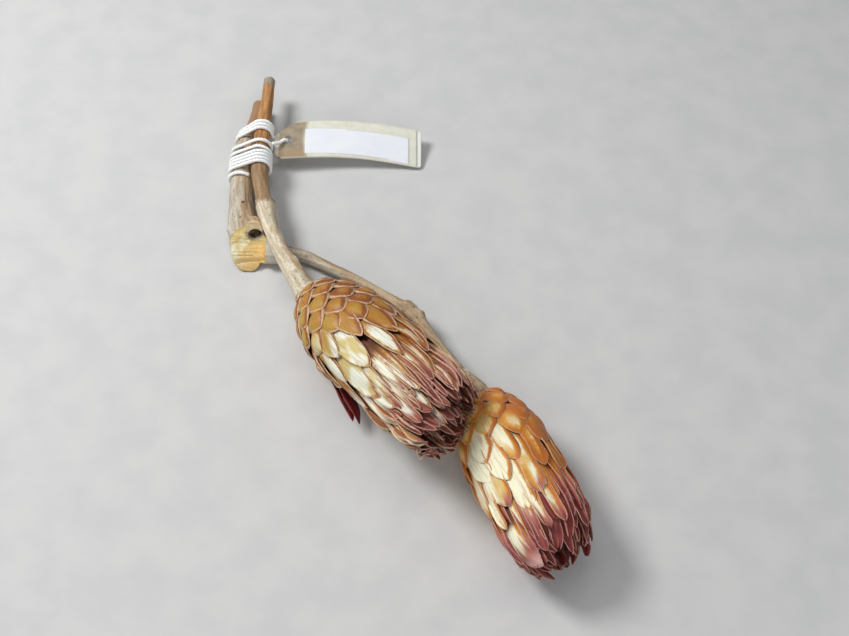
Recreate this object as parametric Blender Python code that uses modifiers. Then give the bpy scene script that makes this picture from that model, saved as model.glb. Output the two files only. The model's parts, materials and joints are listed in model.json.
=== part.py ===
"""Dried limestone sugarbush: two dry flower heads on woody stems, tied with white string through a tag.

Metres, +Z up. The bunch lies on the plane z = 0, its cut stems towards +Y and its heads towards -Y.
"""

import math
import random
from dataclasses import dataclass

import bmesh
import bpy
from mathutils import Matrix, Vector

MM = 0.001
TURN = 2 * math.pi
UP = Vector((0, 0, 1))

# The layout is written in millimetres, from a point under the bunch. This is where its box's middle lies.
MIDDLE_X = -14.0
MIDDLE_Y = 0.6

# Gap between pieces that touch on the real bunch.
SEAT_GAP = 0.3

# Bracts: the blades that cover a head, each a little larger than life in thickness.
GOLDEN_ANGLE = math.radians(137.5077)
BRACT_THICKNESS = 0.7
SCALE_ROWS = (0, 0.55, 0.86, 1)
LONG_ROWS = (0, 0.45, 0.82, 1)
FIRST_TIP = 3.6
SCALE_LENGTH = 15.0
LONG_LENGTH = 46.0
LEAST_ROOT = 0.4
SCALE_SLOPE = 0.2
LONG_SLOPE = 0.085
ROOT_DIVE = 1.3
ROOT_DIVE_END = 0.3
LEAST_SIZE_NEAR_NECK = 0.12
SPIRAL_SPREAD = 0.02
LEAST_TURNING_RADIUS = 3.5

# Half widths along a bract: at its root, where it is full and how sharply its tip closes.
SCALE_ROOT_WIDTH = 0.45
SCALE_FULL_AT = 0.6
SCALE_TIP_POWERS = (7, 0.6)
LONG_ROOT_WIDTH = 0.35
LONG_FULL_AT = 0.5
LONG_TIP_POWERS = (3.2, 0.8)

# How far the tips of long bracts turn out and lean, from least to most.
SCALE_FLARE = 0.5
LONG_FLARES = (-0.8, 1.6)
LONG_SWAY = 1.6

# Bracts inside the ring of tips: shorter and narrower, some back from the end and some deeper than others.
INNER_LENGTH = 0.75
INNER_WIDTH = 0.85
INNER_SLOPE = 0.03
INNER_BACK = (1, 9)
INNER_DEPTH = 3.5
INNER_FLARES = (-0.6, 0.8)
INNER_SWAY = 1.0

# The woody core under the bracts: how deep it lies, deeper still towards its end, and its closing cone.
CORE_DEPTH = 3.2
CORE_DEEP_AFTER = 6.0
CORE_END_DEPTH = 2.5
CORE_END = 0.78
CORE_CONE = ((0.6, 4), (0, 6))
CORE_RINGS = 6
CORE_SIDES = 14


@dataclass
class Head:
    """A flower head: its axis, its outline and how its bracts lie on it, all in millimetres."""

    name: str
    base: Vector  # middle of the base, where the stem runs in
    end: Vector  # middle of the ring of bract tips
    neck: float  # radius at the base
    belly: float  # greatest radius
    belly_at: float  # distance from the base to the belly
    mouth: float  # radius of the ring of tips
    taper: float  # power of the narrowing from the belly to the mouth
    scale_zone: float  # short scales cover the head as far as this
    long_zone: float  # from here on all bracts are long ones
    scale_cell: float  # area that one short scale shows
    long_cell: float  # area that one long bract shows
    scale_width: float
    long_width: float
    inner_bracts: int  # bracts that stand inside the ring of tips
    seed: int
    sprung: tuple = ()  # angle, tip and flare of a bract that has sprung away from the head

    @property
    def length(self):
        return (self.end - self.base).length

    def radius(self, z):
        """Outer radius of the closed bracts at a distance z from the base."""
        if z < self.belly_at:
            rise = 1 - (1 - max(z, 0) / self.belly_at) ** 2.6
            return self.neck + (self.belly - self.neck) * rise**0.7
        fall = min((z - self.belly_at) / (self.length - self.belly_at), 1)
        return self.belly - (self.belly - self.mouth) * fall**self.taper

    def frame(self):
        """Rotation and place of the head: local Z runs up its axis, local Y points up from the table."""
        axis = (self.end - self.base).normalized()
        above = (UP - UP.dot(axis) * axis).normalized()
        rotation = Matrix((above.cross(axis), above, axis)).transposed().to_4x4()
        return Matrix.Translation(self.base) @ rotation


@dataclass
class Bract:
    """One bract, by the place of its tip on the head and its own sizes, in millimetres."""

    angle: float
    tip: float  # distance of the tip from the head's base
    length: float
    width: float
    slope: float  # how fast it sinks below the outline towards its root
    share: float  # 0 for a short scale, 1 for a long bract
    depth: float  # how far the tip lies inside the outline
    flare: float  # how far the tip turns out
    sway: float  # how far the tip leans to one side


def place(x, y, z):
    """A layout point, in millimetres, from the middle of the bunch."""
    return Vector((x - MIDDLE_X, y - MIDDLE_Y, z))


UPPER_HEAD = Head(
    name="flower_head_upper",
    base=place(-48.7, 3.9, 11.7),
    end=place(14.6, -80.0, 38.6),
    neck=5.0,
    belly=19.8,
    belly_at=45,
    mouth=15.5,
    taper=1.8,
    scale_zone=36,
    long_zone=58,
    scale_cell=86,
    long_cell=225,
    scale_width=11.4,
    long_width=9.8,
    inner_bracts=11,
    seed=11,
    sprung=(math.radians(226), 57.0, 6.5),
)
LOWER_HEAD = Head(
    name="flower_head_lower",
    base=place(20.4, -48.4, 15.8),
    end=place(53.0, -126.6, 19.7),
    neck=5.0,
    belly=18.0,
    belly_at=38,
    mouth=12.0,
    taper=2.8,
    scale_zone=24,
    long_zone=42,
    scale_cell=74,
    long_cell=185,
    scale_width=10.4,
    long_width=9.0,
    inner_bracts=9,
    seed=23,
)

# The upper head's tips lie on the lower head, and bend clear of its bracts by a soft rule.
LEAN_CLEARANCE = 1.1
LEAN_SOFTNESS = 2.2
LEAN_REACH = 8.0

# Stems: x, y, z and radius along each, from the cut end to the head or the fork.
UPPER_STEM_ROUTE = (
    (-73.3, 127.7, 13.4, 2.6),
    (-73.5, 115.2, 13.1, 2.9),
    (-74.3, 103.7, 12.8, 3.5),
    (-74.7, 88.0, 12.3, 3.7),
    (-74.0, 70.0, 12.2, 3.8),
    (-71.9, 58.0, 12.5, 3.7),
    (-70.7, 52.0, 12.8, 4.0),
    (-69.6, 48.0, 13.1, 4.3),
    (-68.4, 43.5, 13.6, 3.7),
    (-66.9, 38.0, 14.2, 3.5),
    (-63.6, 29.5, 14.7, 3.5),
    (-60.4, 22.5, 14.6, 3.8),
    (-55.8, 14.6, 13.6, 4.6),
)
BRANCH_ROUTE = (
    (-78.0, 119.5, 5.8, 3.2),
    (-78.8, 108.0, 6.3, 3.6),
    (-81.4, 97.0, 6.6, 4.2),
    (-82.9, 86.0, 7.0, 4.6),
    (-82.8, 74.0, 7.2, 4.8),
    (-82.1, 58.0, 7.3, 5.5),
    (-80.4, 46.0, 7.3, 6.7),
    (-78.3, 36.0, 7.2, 7.1),
    (-76.5, 18.0, 7.0, 7.1),
)
SHOOT_ROUTE = (
    (-77.0, 39.0, 6.4, 5.8),
    (-71.0, 32.6, 5.8, 5.8),
    (-64.0, 30.8, 4.9, 4.6),
    (-55.4, 30.6, 4.3, 3.0),
    (-50.0, 28.8, 4.1, 2.7),
    (-45.0, 25.7, 4.2, 2.5),
    (-30.0, 16.3, 5.6, 2.4),
    (-18.5, 7.0, 7.5, 2.5),
    (-10.5, 0.6, 8.9, 2.8),
    (-5.6, -3.6, 9.6, 3.6),
    (-2.0, -9.2, 10.4, 3.0),
    (2.6, -17.7, 11.9, 2.5),
    (8.8, -28.2, 13.8, 2.6),
    (13.5, -36.5, 15.0, 3.0),
)
STEM_SIDES_STEP = 3
STEP_ALONG_STEM = 5.0
SQUARE_END = 3.0
SQUARE_END_WAIST = 0.6

# Oblique saw cut through the lower end of the branch, facing forward and up.
CUT_POINT = place(-77.5, 31.0, 7.2)
CUT_NORMAL = Vector((0, -0.73, 0.69))
CUT_BLOCK_SIDE = 60
TABLE_BLOCK_SIDE = 300

# Hollow stub of a lost side shoot, on top of the fork. It faces forward and up, as the saw cut does.
STUB_POINT = place(-74.6, 38.2, 12.6)
STUB_AXIS = Vector((0.05, -0.78, 0.62))
STUB_SIDES = 12
STUB_RADIUS = 3.3
STUB_ROOT = -7
STUB_HEIGHT = 1.0
STUB_HOLE_RADIUS = 2.1
STUB_HOLE_DEPTH = 2.6
STUB_HOLE_OVERCUT = 5

# White string: y against the number of turns, which count from the right side over the top. It starts in the
# crevice between the stems, winds round the branch and then round both stems, below and above the tag's strands.
STRING_RADIUS = 0.85
STRING_GAP = 0.55
TUCKED_START = (70.2, 0.14)
TURNS_BELOW_TAG = (
    (71.7, 0.5),
    (74.1, 1),
    (76.05, 2),
    (78.0, 3),
    (79.95, 4),
    (81.9, 5),
    (86.6, 6),
    (88.4, 7),
)
TURNS_ABOVE_TAG = ((94.1, 0), (96.05, 1), (98.0, 2), (98.8, 2.42))
POINTS_PER_TURN = 11
LEAVING_STEM = place(-68.5, 89.0, 12.4)
COMING_BACK = place(-68.9, 93.7, 8.7)
BEND_STEPS = 6

# Card tag: a long strip with two clipped corners and a hole at the end that is tied.
TAG_LENGTH = 66.4
TAG_WIDTH = 18.6
TAG_THICKNESS = 0.8
TAG_LEFT = -67.9
TAG_MIDDLE_Y = 92.6
TAG_BOW_Y = 2.2
TAG_HEIGHT = 9.7
TAG_DROP = 5.7
TAG_BOW_Z = 1.6
TAG_TILT_LEFT = math.radians(14)
TAG_TILT_RIGHT = math.radians(20)
TAG_UPPER_CLIP = (8.0, 6.5)
TAG_LOWER_CLIP = (2.5, 2.5)
TAG_CORNER = 1.6
TAG_HOLE_RADIUS = 2.2
TAG_HOLE_INSET = 5.0
TAG_STATIONS = 8


def mix(low, high, share):
    return low + (high - low) * share


def smooth_share(value, low, high):
    """0 below low, 1 above high and an S-curve between."""
    share = min(max((value - low) / (high - low), 0), 1)
    return share * share * (3 - 2 * share)


def start_scene():
    """Empties the scene and returns the collections of the parts and of the cutters."""
    for old in list(bpy.data.objects):
        bpy.data.objects.remove(old)
    made = []
    for name in ("dried_limestone_sugarbush", "cutters"):
        collection = bpy.data.collections.new(name)
        bpy.context.scene.collection.children.link(collection)
        made.append(collection)
    return made


def finish_material(name, colour, roughness):
    material = bpy.data.materials.new(name)
    material.use_nodes = True
    shader = material.node_tree.nodes["Principled BSDF"]
    shader.inputs["Base Color"].default_value = (*colour, 1)
    shader.inputs["Roughness"].default_value = roughness
    shader.inputs["Metallic"].default_value = 0
    material.diffuse_color = (*colour, 1)
    return material


def object_from(mesh_builder, name, collection):
    """Turns a bmesh into a named object in a collection."""
    mesh = bpy.data.meshes.new(name)
    mesh_builder.to_mesh(mesh)
    mesh_builder.free()
    made = bpy.data.objects.new(name, mesh)
    collection.objects.link(made)
    return made


def bake(source):
    """Applies an object's modifiers, or turns a curve into a mesh with its caps welded."""
    graph = bpy.context.evaluated_depsgraph_get()
    mesh = bpy.data.meshes.new_from_object(source.evaluated_get(graph))
    welded = bmesh.new()
    welded.from_mesh(mesh)
    bmesh.ops.remove_doubles(welded, verts=welded.verts, dist=0.001 * MM)
    welded.to_mesh(mesh)
    welded.free()
    made = bpy.data.objects.new(source.name, mesh)
    made.matrix_world = source.matrix_world
    source.users_collection[0].objects.link(made)
    name = source.name
    bpy.data.objects.remove(source)
    made.name = name
    mesh.name = name
    return made


def as_cutter(helper):
    helper.hide_render = True
    helper.display_type = "WIRE"
    return helper


def boolean(target, other, operation, solver="EXACT"):
    """Cuts or joins one object with another, and removes the other."""
    step = target.modifiers.new(operation.lower(), "BOOLEAN")
    step.operation = operation
    step.object = other
    step.solver = solver
    made = bake(target)
    bpy.data.objects.remove(other)
    return made


def keep_outer_shell(target):
    """Keeps the tallest shell, which drops loose scraps and fills sealed hollows."""
    shells = bmesh.new()
    shells.from_mesh(target.data)
    left = set(shells.verts)
    groups = []
    while left:
        group = set()
        front = [left.pop()]
        while front:
            vertex = front.pop()
            group.add(vertex)
            for edge in vertex.link_edges:
                other = edge.other_vert(vertex)
                if other in left:
                    left.remove(other)
                    front.append(other)
        groups.append(group)
    groups.sort(key=lambda group: max(vertex.co.z for vertex in group) - min(vertex.co.z for vertex in group))
    for group in groups[:-1]:
        bmesh.ops.delete(shells, geom=list(group), context="VERTS")
    shells.to_mesh(target.data)
    shells.free()


def half_width(s, share):
    """Half width of a bract, of its greatest, from root (s = 0) to tip (s = 1)."""
    widths = []
    for root, full_at, (closing, roundness) in (
        (SCALE_ROOT_WIDTH, SCALE_FULL_AT, SCALE_TIP_POWERS),
        (LONG_ROOT_WIDTH, LONG_FULL_AT, LONG_TIP_POWERS),
    ):
        body = mix(root, 1, math.sin(min(s / full_at, 1) * math.pi / 2))
        widths.append(body * max(1 - s**closing, 0) ** roundness)
    return mix(*widths, share)


def bract_point(head, bract, s, across):
    """A point of a bract's outer face in the head's frame. s is 0 to 1, across is -1 to 1."""
    below = bract.length * (1 - s)
    z = bract.tip - below
    sunk = bract.slope * below + ROOT_DIVE * max(1 - s / ROOT_DIVE_END, 0)
    radius = head.radius(z) - bract.depth - sunk + bract.flare * s**5
    sideways = across * half_width(s, bract.share) * bract.width / 2 + bract.sway * s**4
    angle = bract.angle + sideways / max(radius, LEAST_TURNING_RADIUS)
    return Vector((radius * math.cos(angle), radius * math.sin(angle), z))


def bracts_of(head):
    """The bracts of a head: a spiral by the golden angle, closer on the scales than further up."""
    draw = random.Random(head.seed)
    bracts = []
    tip = FIRST_TIP
    while tip < head.length:
        share = smooth_share(tip, head.scale_zone, head.long_zone)
        small = min(head.radius(tip) / head.belly + LEAST_SIZE_NEAR_NECK, 1)
        bracts.append(
            Bract(
                angle=GOLDEN_ANGLE * len(bracts) + draw.uniform(-SPIRAL_SPREAD, SPIRAL_SPREAD),
                tip=tip,
                length=min(mix(SCALE_LENGTH, LONG_LENGTH, share) * small, tip - LEAST_ROOT),
                width=mix(head.scale_width, head.long_width, share) * small,
                slope=mix(SCALE_SLOPE, LONG_SLOPE, share),
                share=share,
                depth=0,
                flare=mix(SCALE_FLARE, draw.uniform(*LONG_FLARES), share),
                sway=mix(0, draw.uniform(-LONG_SWAY, LONG_SWAY), share),
            )
        )
        tip += mix(head.scale_cell, head.long_cell, share) / (TURN * head.radius(tip))
    if head.sprung:
        angle, tip, flare = head.sprung
        nearest = min(
            bracts,
            key=lambda bract: abs(math.sin((bract.angle - angle) / 2)) * head.belly + abs(bract.tip - tip) / 2,
        )
        nearest.angle = angle
        nearest.tip = tip
        nearest.flare = flare
        nearest.share = 1
    for number in range(head.inner_bracts):
        inward = (number + 0.5) / head.inner_bracts
        bracts.append(
            Bract(
                angle=GOLDEN_ANGLE * len(bracts),
                tip=head.length - draw.uniform(*INNER_BACK),
                length=LONG_LENGTH * INNER_LENGTH,
                width=head.long_width * INNER_WIDTH,
                slope=INNER_SLOPE,
                share=1,
                depth=mix(INNER_DEPTH, head.mouth - INNER_DEPTH, inward),
                flare=draw.uniform(*INNER_FLARES),
                sway=draw.uniform(-INNER_SWAY, INNER_SWAY),
            )
        )
    return bracts


def lean_clear(head, point, other):
    """Moves a point of one head out of the outline of the other, softly, so that layers keep their order."""
    world = head.frame() @ point
    inside = other.frame().inverted() @ world
    if not -LEAN_REACH < inside.z < other.length:
        return point
    flat = Vector((inside.x, inside.y, 0))
    over = flat.length - other.radius(inside.z) - LEAN_CLEARANCE
    if over > LEAN_REACH:
        return point
    lifted = (over + math.hypot(over, LEAN_SOFTNESS)) / 2
    inside += flat.normalized() * (lifted - over)
    return head.frame().inverted() @ (other.frame() @ inside)


def add_bract(head, bract, other, collection):
    """A thin blade: a grid shaped into the bract's outer face and thickened inward."""
    rows = LONG_ROWS if bract.share > 0.5 else SCALE_ROWS
    blade = bmesh.new()
    bmesh.ops.create_grid(blade, x_segments=2, y_segments=len(rows) - 1, size=1)
    for vertex in blade.verts:
        row = round((vertex.co.y + 1) / 2 * (len(rows) - 1))
        point = bract_point(head, bract, rows[row], vertex.co.x)
        if other:
            point = lean_clear(head, point, other)
        vertex.co = point * MM
    bmesh.ops.remove_doubles(blade, verts=blade.verts, dist=0.01 * MM)
    bmesh.ops.triangulate(blade, faces=blade.faces)
    made = object_from(blade, "bract", collection)
    wall = made.modifiers.new("thickness", "SOLIDIFY")
    wall.thickness = BRACT_THICKNESS * MM
    wall.offset = -1
    return made


def add_core(head, collection):
    """The woody core that the bracts grow from, turned from its half outline."""
    reach = head.length * CORE_END
    outline = [(0, 0)]
    for number in range(CORE_RINGS + 1):
        z = reach * number / CORE_RINGS
        end_share = smooth_share(z, head.scale_zone, reach)
        depth = CORE_DEPTH * min(z / CORE_DEEP_AFTER, 1) + CORE_END_DEPTH * end_share
        outline.append((head.radius(z) - depth, z))
    last_radius = outline[-1][0]
    outline += [(last_radius * share, reach + further) for share, further in CORE_CONE]
    profile = bmesh.new()
    points = [profile.verts.new((x * MM, 0, z * MM)) for x, z in reversed(outline)]
    for first, second in zip(points, points[1:]):
        profile.edges.new((first, second))
    core = object_from(profile, head.name, collection)
    turned = core.modifiers.new("turn", "SCREW")
    turned.steps = CORE_SIDES
    turned.render_steps = CORE_SIDES
    turned.use_merge_vertices = True
    turned.merge_threshold = 0.00001
    return bake(core)


def build_head(head, other, material, parts, cutters):
    """A head's core with all its bracts joined to it, pressed flat where it lies on the table."""
    core = add_core(head, parts)
    blades = bpy.data.collections.new(head.name + "_bracts")
    bpy.context.scene.collection.children.link(blades)
    for bract in bracts_of(head):
        add_bract(head, bract, other, blades)
    join = core.modifiers.new("join", "BOOLEAN")
    join.operation = "UNION"
    join.operand_type = "COLLECTION"
    join.collection = blades
    join.solver = "MANIFOLD"
    made = bake(core)
    for blade in list(blades.objects):
        bpy.data.objects.remove(blade)
    bpy.data.collections.remove(blades)
    keep_outer_shell(made)
    frame = head.frame()
    frame.translation = head.base * MM
    made.matrix_world = frame
    bpy.context.view_layer.update()
    made = trim_at_table(made, cutters)
    made.data.materials.clear()
    made.data.materials.append(material)
    return made


def add_block_beyond(point, normal, side, cutters):
    """A cube whose one face lies on a plane, on the side that the normal points to."""
    block = bmesh.new()
    bmesh.ops.create_cube(block, size=side * MM)
    made = as_cutter(object_from(block, "block", cutters))
    turned = normal.normalized().to_track_quat("Z", "Y").to_matrix().to_4x4()
    centre = (point + normal.normalized() * side / 2) * MM
    made.matrix_world = Matrix.Translation(centre) @ turned
    bpy.context.view_layer.update()
    return made


def trim_at_table(target, cutters):
    """Takes off what reaches below the table, which leaves the small flat spots that the piece rests on."""
    made = boolean(target, add_block_beyond(Vector(), -UP, TABLE_BLOCK_SIDE, cutters), "DIFFERENCE", "MANIFOLD")
    keep_outer_shell(made)
    return made


def smooth_route(route, step):
    """A Catmull-Rom curve through four-number stations, read about every step millimetres."""
    middles = [Vector(station[:3]) for station in route]
    radii = [station[3] for station in route]
    points = []
    last = len(route) - 1
    for index in range(last):
        ends = [max(index - 1, 0), index, index + 1, min(index + 2, last)]
        p0, p1, p2, p3 = (middles[end] for end in ends)
        r0, r1, r2, r3 = (radii[end] for end in ends)
        pieces = max(round((p2 - p1).length / step), 1)
        for piece in range(pieces):
            t = piece / pieces
            weights = (
                -0.5 * t + t * t - 0.5 * t**3,
                1 - 2.5 * t * t + 1.5 * t**3,
                0.5 * t + 2 * t * t - 1.5 * t**3,
                -0.5 * t * t + 0.5 * t**3,
            )
            point = p0 * weights[0] + p1 * weights[1] + p2 * weights[2] + p3 * weights[3]
            radius = r0 * weights[0] + r1 * weights[1] + r2 * weights[2] + r3 * weights[3]
            points.append((point, radius))
    points.append((middles[last], radii[last]))
    return points


def add_tube(name, points, sides_step, collection):
    """A tube along (point, radius) pairs in millimetres, as a closed mesh."""
    curve = bpy.data.curves.new(name, "CURVE")
    curve.dimensions = "3D"
    curve.bevel_depth = MM
    curve.bevel_resolution = sides_step
    curve.use_fill_caps = True
    spline = curve.splines.new("POLY")
    spline.points.add(len(points) - 1)
    for vertex, (point, radius) in zip(spline.points, points):
        vertex.co = (*(point * MM), 1)
        vertex.radius = radius
    made = bpy.data.objects.new(name, curve)
    collection.objects.link(made)
    return bake(made)


def laid(route):
    return [(*place(x, y, z), radius) for x, y, z, radius in route]


def run_into(route, head):
    """Lengthens a stem's route so that it ends square to the head's base, just short of it."""
    axis = (head.end - head.base).normalized()
    end = head.base - axis * SEAT_GAP
    before = head.base - axis * SQUARE_END
    return laid(route) + [(*before, head.neck - SQUARE_END_WAIST), (*end, head.neck)]


def build_upper_stem(material, parts):
    route = smooth_route(run_into(UPPER_STEM_ROUTE, UPPER_HEAD), STEP_ALONG_STEM)
    stem = add_tube("stem_upper", route, STEM_SIDES_STEP, parts)
    stem.data.materials.append(material)
    return stem


def add_round(point, axis, radius, low, high, collection):
    """A short cylinder along an axis, from low to high above a point."""
    rod = bmesh.new()
    bmesh.ops.create_cone(
        rod,
        cap_ends=True,
        segments=STUB_SIDES,
        radius1=radius * MM,
        radius2=radius * MM,
        depth=(high - low) * MM,
    )
    made = object_from(rod, "round", collection)
    turned = axis.normalized().to_track_quat("Z", "Y").to_matrix().to_4x4()
    centre = (point + axis.normalized() * (low + high) / 2) * MM
    made.matrix_world = Matrix.Translation(centre) @ turned
    bpy.context.view_layer.update()
    return made


def build_branch(material, parts, cutters):
    """The sawn branch, its side shoot that bears the lower head and the hollow stub on the fork."""
    branch_route = smooth_route(laid(BRANCH_ROUTE), STEP_ALONG_STEM)
    branch = add_tube("branch_lower", branch_route, STEM_SIDES_STEP + 1, parts)
    saw = add_block_beyond(CUT_POINT, CUT_NORMAL, CUT_BLOCK_SIDE, cutters)
    branch = boolean(branch, saw, "DIFFERENCE")
    shoot_route = smooth_route(run_into(SHOOT_ROUTE, LOWER_HEAD), STEP_ALONG_STEM)
    branch = boolean(branch, add_tube("shoot", shoot_route, STEM_SIDES_STEP, parts), "UNION")
    stub = add_round(STUB_POINT, STUB_AXIS, STUB_RADIUS, STUB_ROOT, STUB_HEIGHT, parts)
    branch = boolean(branch, stub, "UNION")
    hole_floor = STUB_HEIGHT - STUB_HOLE_DEPTH
    hole_end = STUB_HEIGHT + STUB_HOLE_OVERCUT
    hole = as_cutter(add_round(STUB_POINT, STUB_AXIS, STUB_HOLE_RADIUS, hole_floor, hole_end, cutters))
    branch = boolean(branch, hole, "DIFFERENCE")
    keep_outer_shell(branch)
    branch = trim_at_table(branch, cutters)
    branch.data.materials.clear()
    branch.data.materials.append(material)
    return branch


def station_at(route, y):
    """Middle and radius of a stem where it passes a given y."""
    for (first, r1), (second, r2) in zip(route, route[1:]):
        if second.y <= y <= first.y:
            share = (first.y - y) / (first.y - second.y)
            return first.lerp(second, share), mix(r1, r2, share)
    return route[-1]


def wound_point(stems, y, turns):
    """A point of the string where it lies round the stems: the outermost one in a direction."""
    outward = Vector((math.cos(turns * TURN), 0, math.sin(turns * TURN)))
    reach = []
    for route in stems:
        middle, radius = station_at(route, y - MIDDLE_Y)
        reach.append(middle + outward * (radius + STRING_GAP + STRING_RADIUS))
    return max(reach, key=lambda point: point.dot(outward))


def wound(stems, stations):
    """Points of the string round the stems, through stations of y and number of turns."""
    points = []
    for (first_y, first), (second_y, second) in zip(stations, stations[1:]):
        pieces = max(round((second - first) * POINTS_PER_TURN), 1)
        for piece in range(pieces):
            share = piece / pieces
            points.append(wound_point(stems, mix(first_y, second_y, share), mix(first, second, share)))
    points.append(wound_point(stems, *stations[-1]))
    return points


def tag_point(u, v, w):
    """A point of the curled tag: u millimetres along it, v across it and w out of it."""
    share = u / TAG_LENGTH
    tilt = mix(TAG_TILT_LEFT, TAG_TILT_RIGHT, share)
    bow = math.sin(math.pi * min(max(share, 0), 1))
    middle = place(
        TAG_LEFT + u,
        TAG_MIDDLE_Y + TAG_BOW_Y * bow,
        TAG_HEIGHT - TAG_DROP * share + TAG_BOW_Z * bow,
    )
    across = Vector((0, math.cos(tilt), math.sin(tilt)))
    outward = Vector((0, -math.sin(tilt), math.cos(tilt)))
    return middle + across * v + outward * w


def through_hole():
    """The strand from the stem over the tag's end, down through its hole and back below it."""
    rim = TAG_HOLE_INSET - TAG_HOLE_RADIUS
    lift = TAG_THICKNESS / 2 + SEAT_GAP + STRING_RADIUS
    points = [LEAVING_STEM, tag_point(0.9, -2.4, lift + 1.0)]
    for step in range(BEND_STEPS + 1):
        share = step / BEND_STEPS
        angle = math.pi * share
        points.append(tag_point(rim + lift * math.sin(angle), mix(-0.4, 0.4, share), lift * math.cos(angle)))
    return points + [tag_point(-0.2, 0.6, -lift - 0.1), COMING_BACK]


def build_string(material, parts):
    """One string: turns round both stems, out through the tag's hole and back, then more turns."""
    upper, branch = (smooth_route(laid(route), STEP_ALONG_STEM) for route in (UPPER_STEM_ROUTE, BRANCH_ROUTE))
    points = wound([branch], (TUCKED_START, TURNS_BELOW_TAG[0]))[:-1]
    points += wound([upper, branch], TURNS_BELOW_TAG)
    points += through_hole()
    points += wound([upper, branch], TURNS_ABOVE_TAG)
    string = add_tube("binding_string", [(point, STRING_RADIUS) for point in points], 1, parts)
    string.data.materials.append(material)
    return string


def arc(centre_u, centre_v, radius, start, end, steps):
    angles = [mix(start, end, step / steps) for step in range(steps + 1)]
    return [(centre_u + radius * math.cos(angle), centre_v + radius * math.sin(angle)) for angle in angles]


def build_tag(material, parts):
    """The tag: a flat outline with its hole, extruded to the card's thickness and then curled."""
    half = TAG_WIDTH / 2
    inner = half - TAG_CORNER
    far = TAG_LENGTH - TAG_CORNER
    outline = [(0, half - TAG_UPPER_CLIP[1]), (0, TAG_LOWER_CLIP[1] - half), (TAG_LOWER_CLIP[0], -half)]
    outline += arc(far, -inner, TAG_CORNER, -math.pi / 2, 0, 4)
    outline += arc(far, inner, TAG_CORNER, 0, math.pi / 2, 4)
    outline += [(TAG_UPPER_CLIP[0], half)]
    ring = arc(TAG_HOLE_INSET, 0, TAG_HOLE_RADIUS, TURN, TURN / 12, 11)
    curve = bpy.data.curves.new("tag", "CURVE")
    curve.dimensions = "2D"
    curve.fill_mode = "BOTH"
    curve.extrude = TAG_THICKNESS / 2 * MM
    for edge in (outline, ring):
        spline = curve.splines.new("POLY")
        spline.points.add(len(edge) - 1)
        spline.use_cyclic_u = True
        for vertex, (u, v) in zip(spline.points, edge):
            vertex.co = (u * MM, v * MM, 0, 1)
    flat = bpy.data.objects.new("tag", curve)
    parts.objects.link(flat)
    tag = bake(flat)
    strips = bmesh.new()
    strips.from_mesh(tag.data)
    bmesh.ops.dissolve_limit(strips, angle_limit=0.01, verts=strips.verts, edges=strips.edges)
    for station in range(1, TAG_STATIONS):
        bmesh.ops.bisect_plane(
            strips,
            geom=strips.verts[:] + strips.edges[:] + strips.faces[:],
            plane_co=(TAG_LENGTH * station / TAG_STATIONS * MM, 0, 0),
            plane_no=(1, 0, 0),
        )
    for vertex in strips.verts:
        u, v, w = vertex.co / MM
        vertex.co = tag_point(u, v, w) * MM
    bmesh.ops.triangulate(strips, faces=strips.faces)
    bmesh.ops.recalc_face_normals(strips, faces=strips.faces)
    strips.to_mesh(tag.data)
    strips.free()
    tag.data.materials.append(material)
    return tag


def build():
    parts, cutters = start_scene()
    bract = finish_material("dry_bract", (0.62, 0.40, 0.20), 0.75)
    bark = finish_material("stem_bark", (0.50, 0.37, 0.24), 0.85)
    cotton = finish_material("white_cotton", (0.88, 0.86, 0.80), 0.9)
    card = finish_material("cream_card", (0.82, 0.76, 0.62), 0.8)
    made = [
        build_head(UPPER_HEAD, LOWER_HEAD, bract, parts, cutters),
        build_head(LOWER_HEAD, None, bract, parts, cutters),
        build_upper_stem(bark, parts),
        build_branch(bark, parts, cutters),
        build_string(cotton, parts),
        build_tag(card, parts),
    ]
    for piece in made:
        piece.data.shade_smooth()
        piece.data.set_sharp_from_angle(angle=math.radians(40))


build()
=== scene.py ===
"""Dried limestone sugarbush: the looks of a tied bunch of two dry flower heads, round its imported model.

Layout sizes are in millimetres, from a point under the bunch. Meshes are written in metres, with +Z up.
"""

import json
import math
import random
from dataclasses import dataclass, replace

import bmesh
import bpy
from mathutils import Matrix, Vector, kdtree, noise

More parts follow.
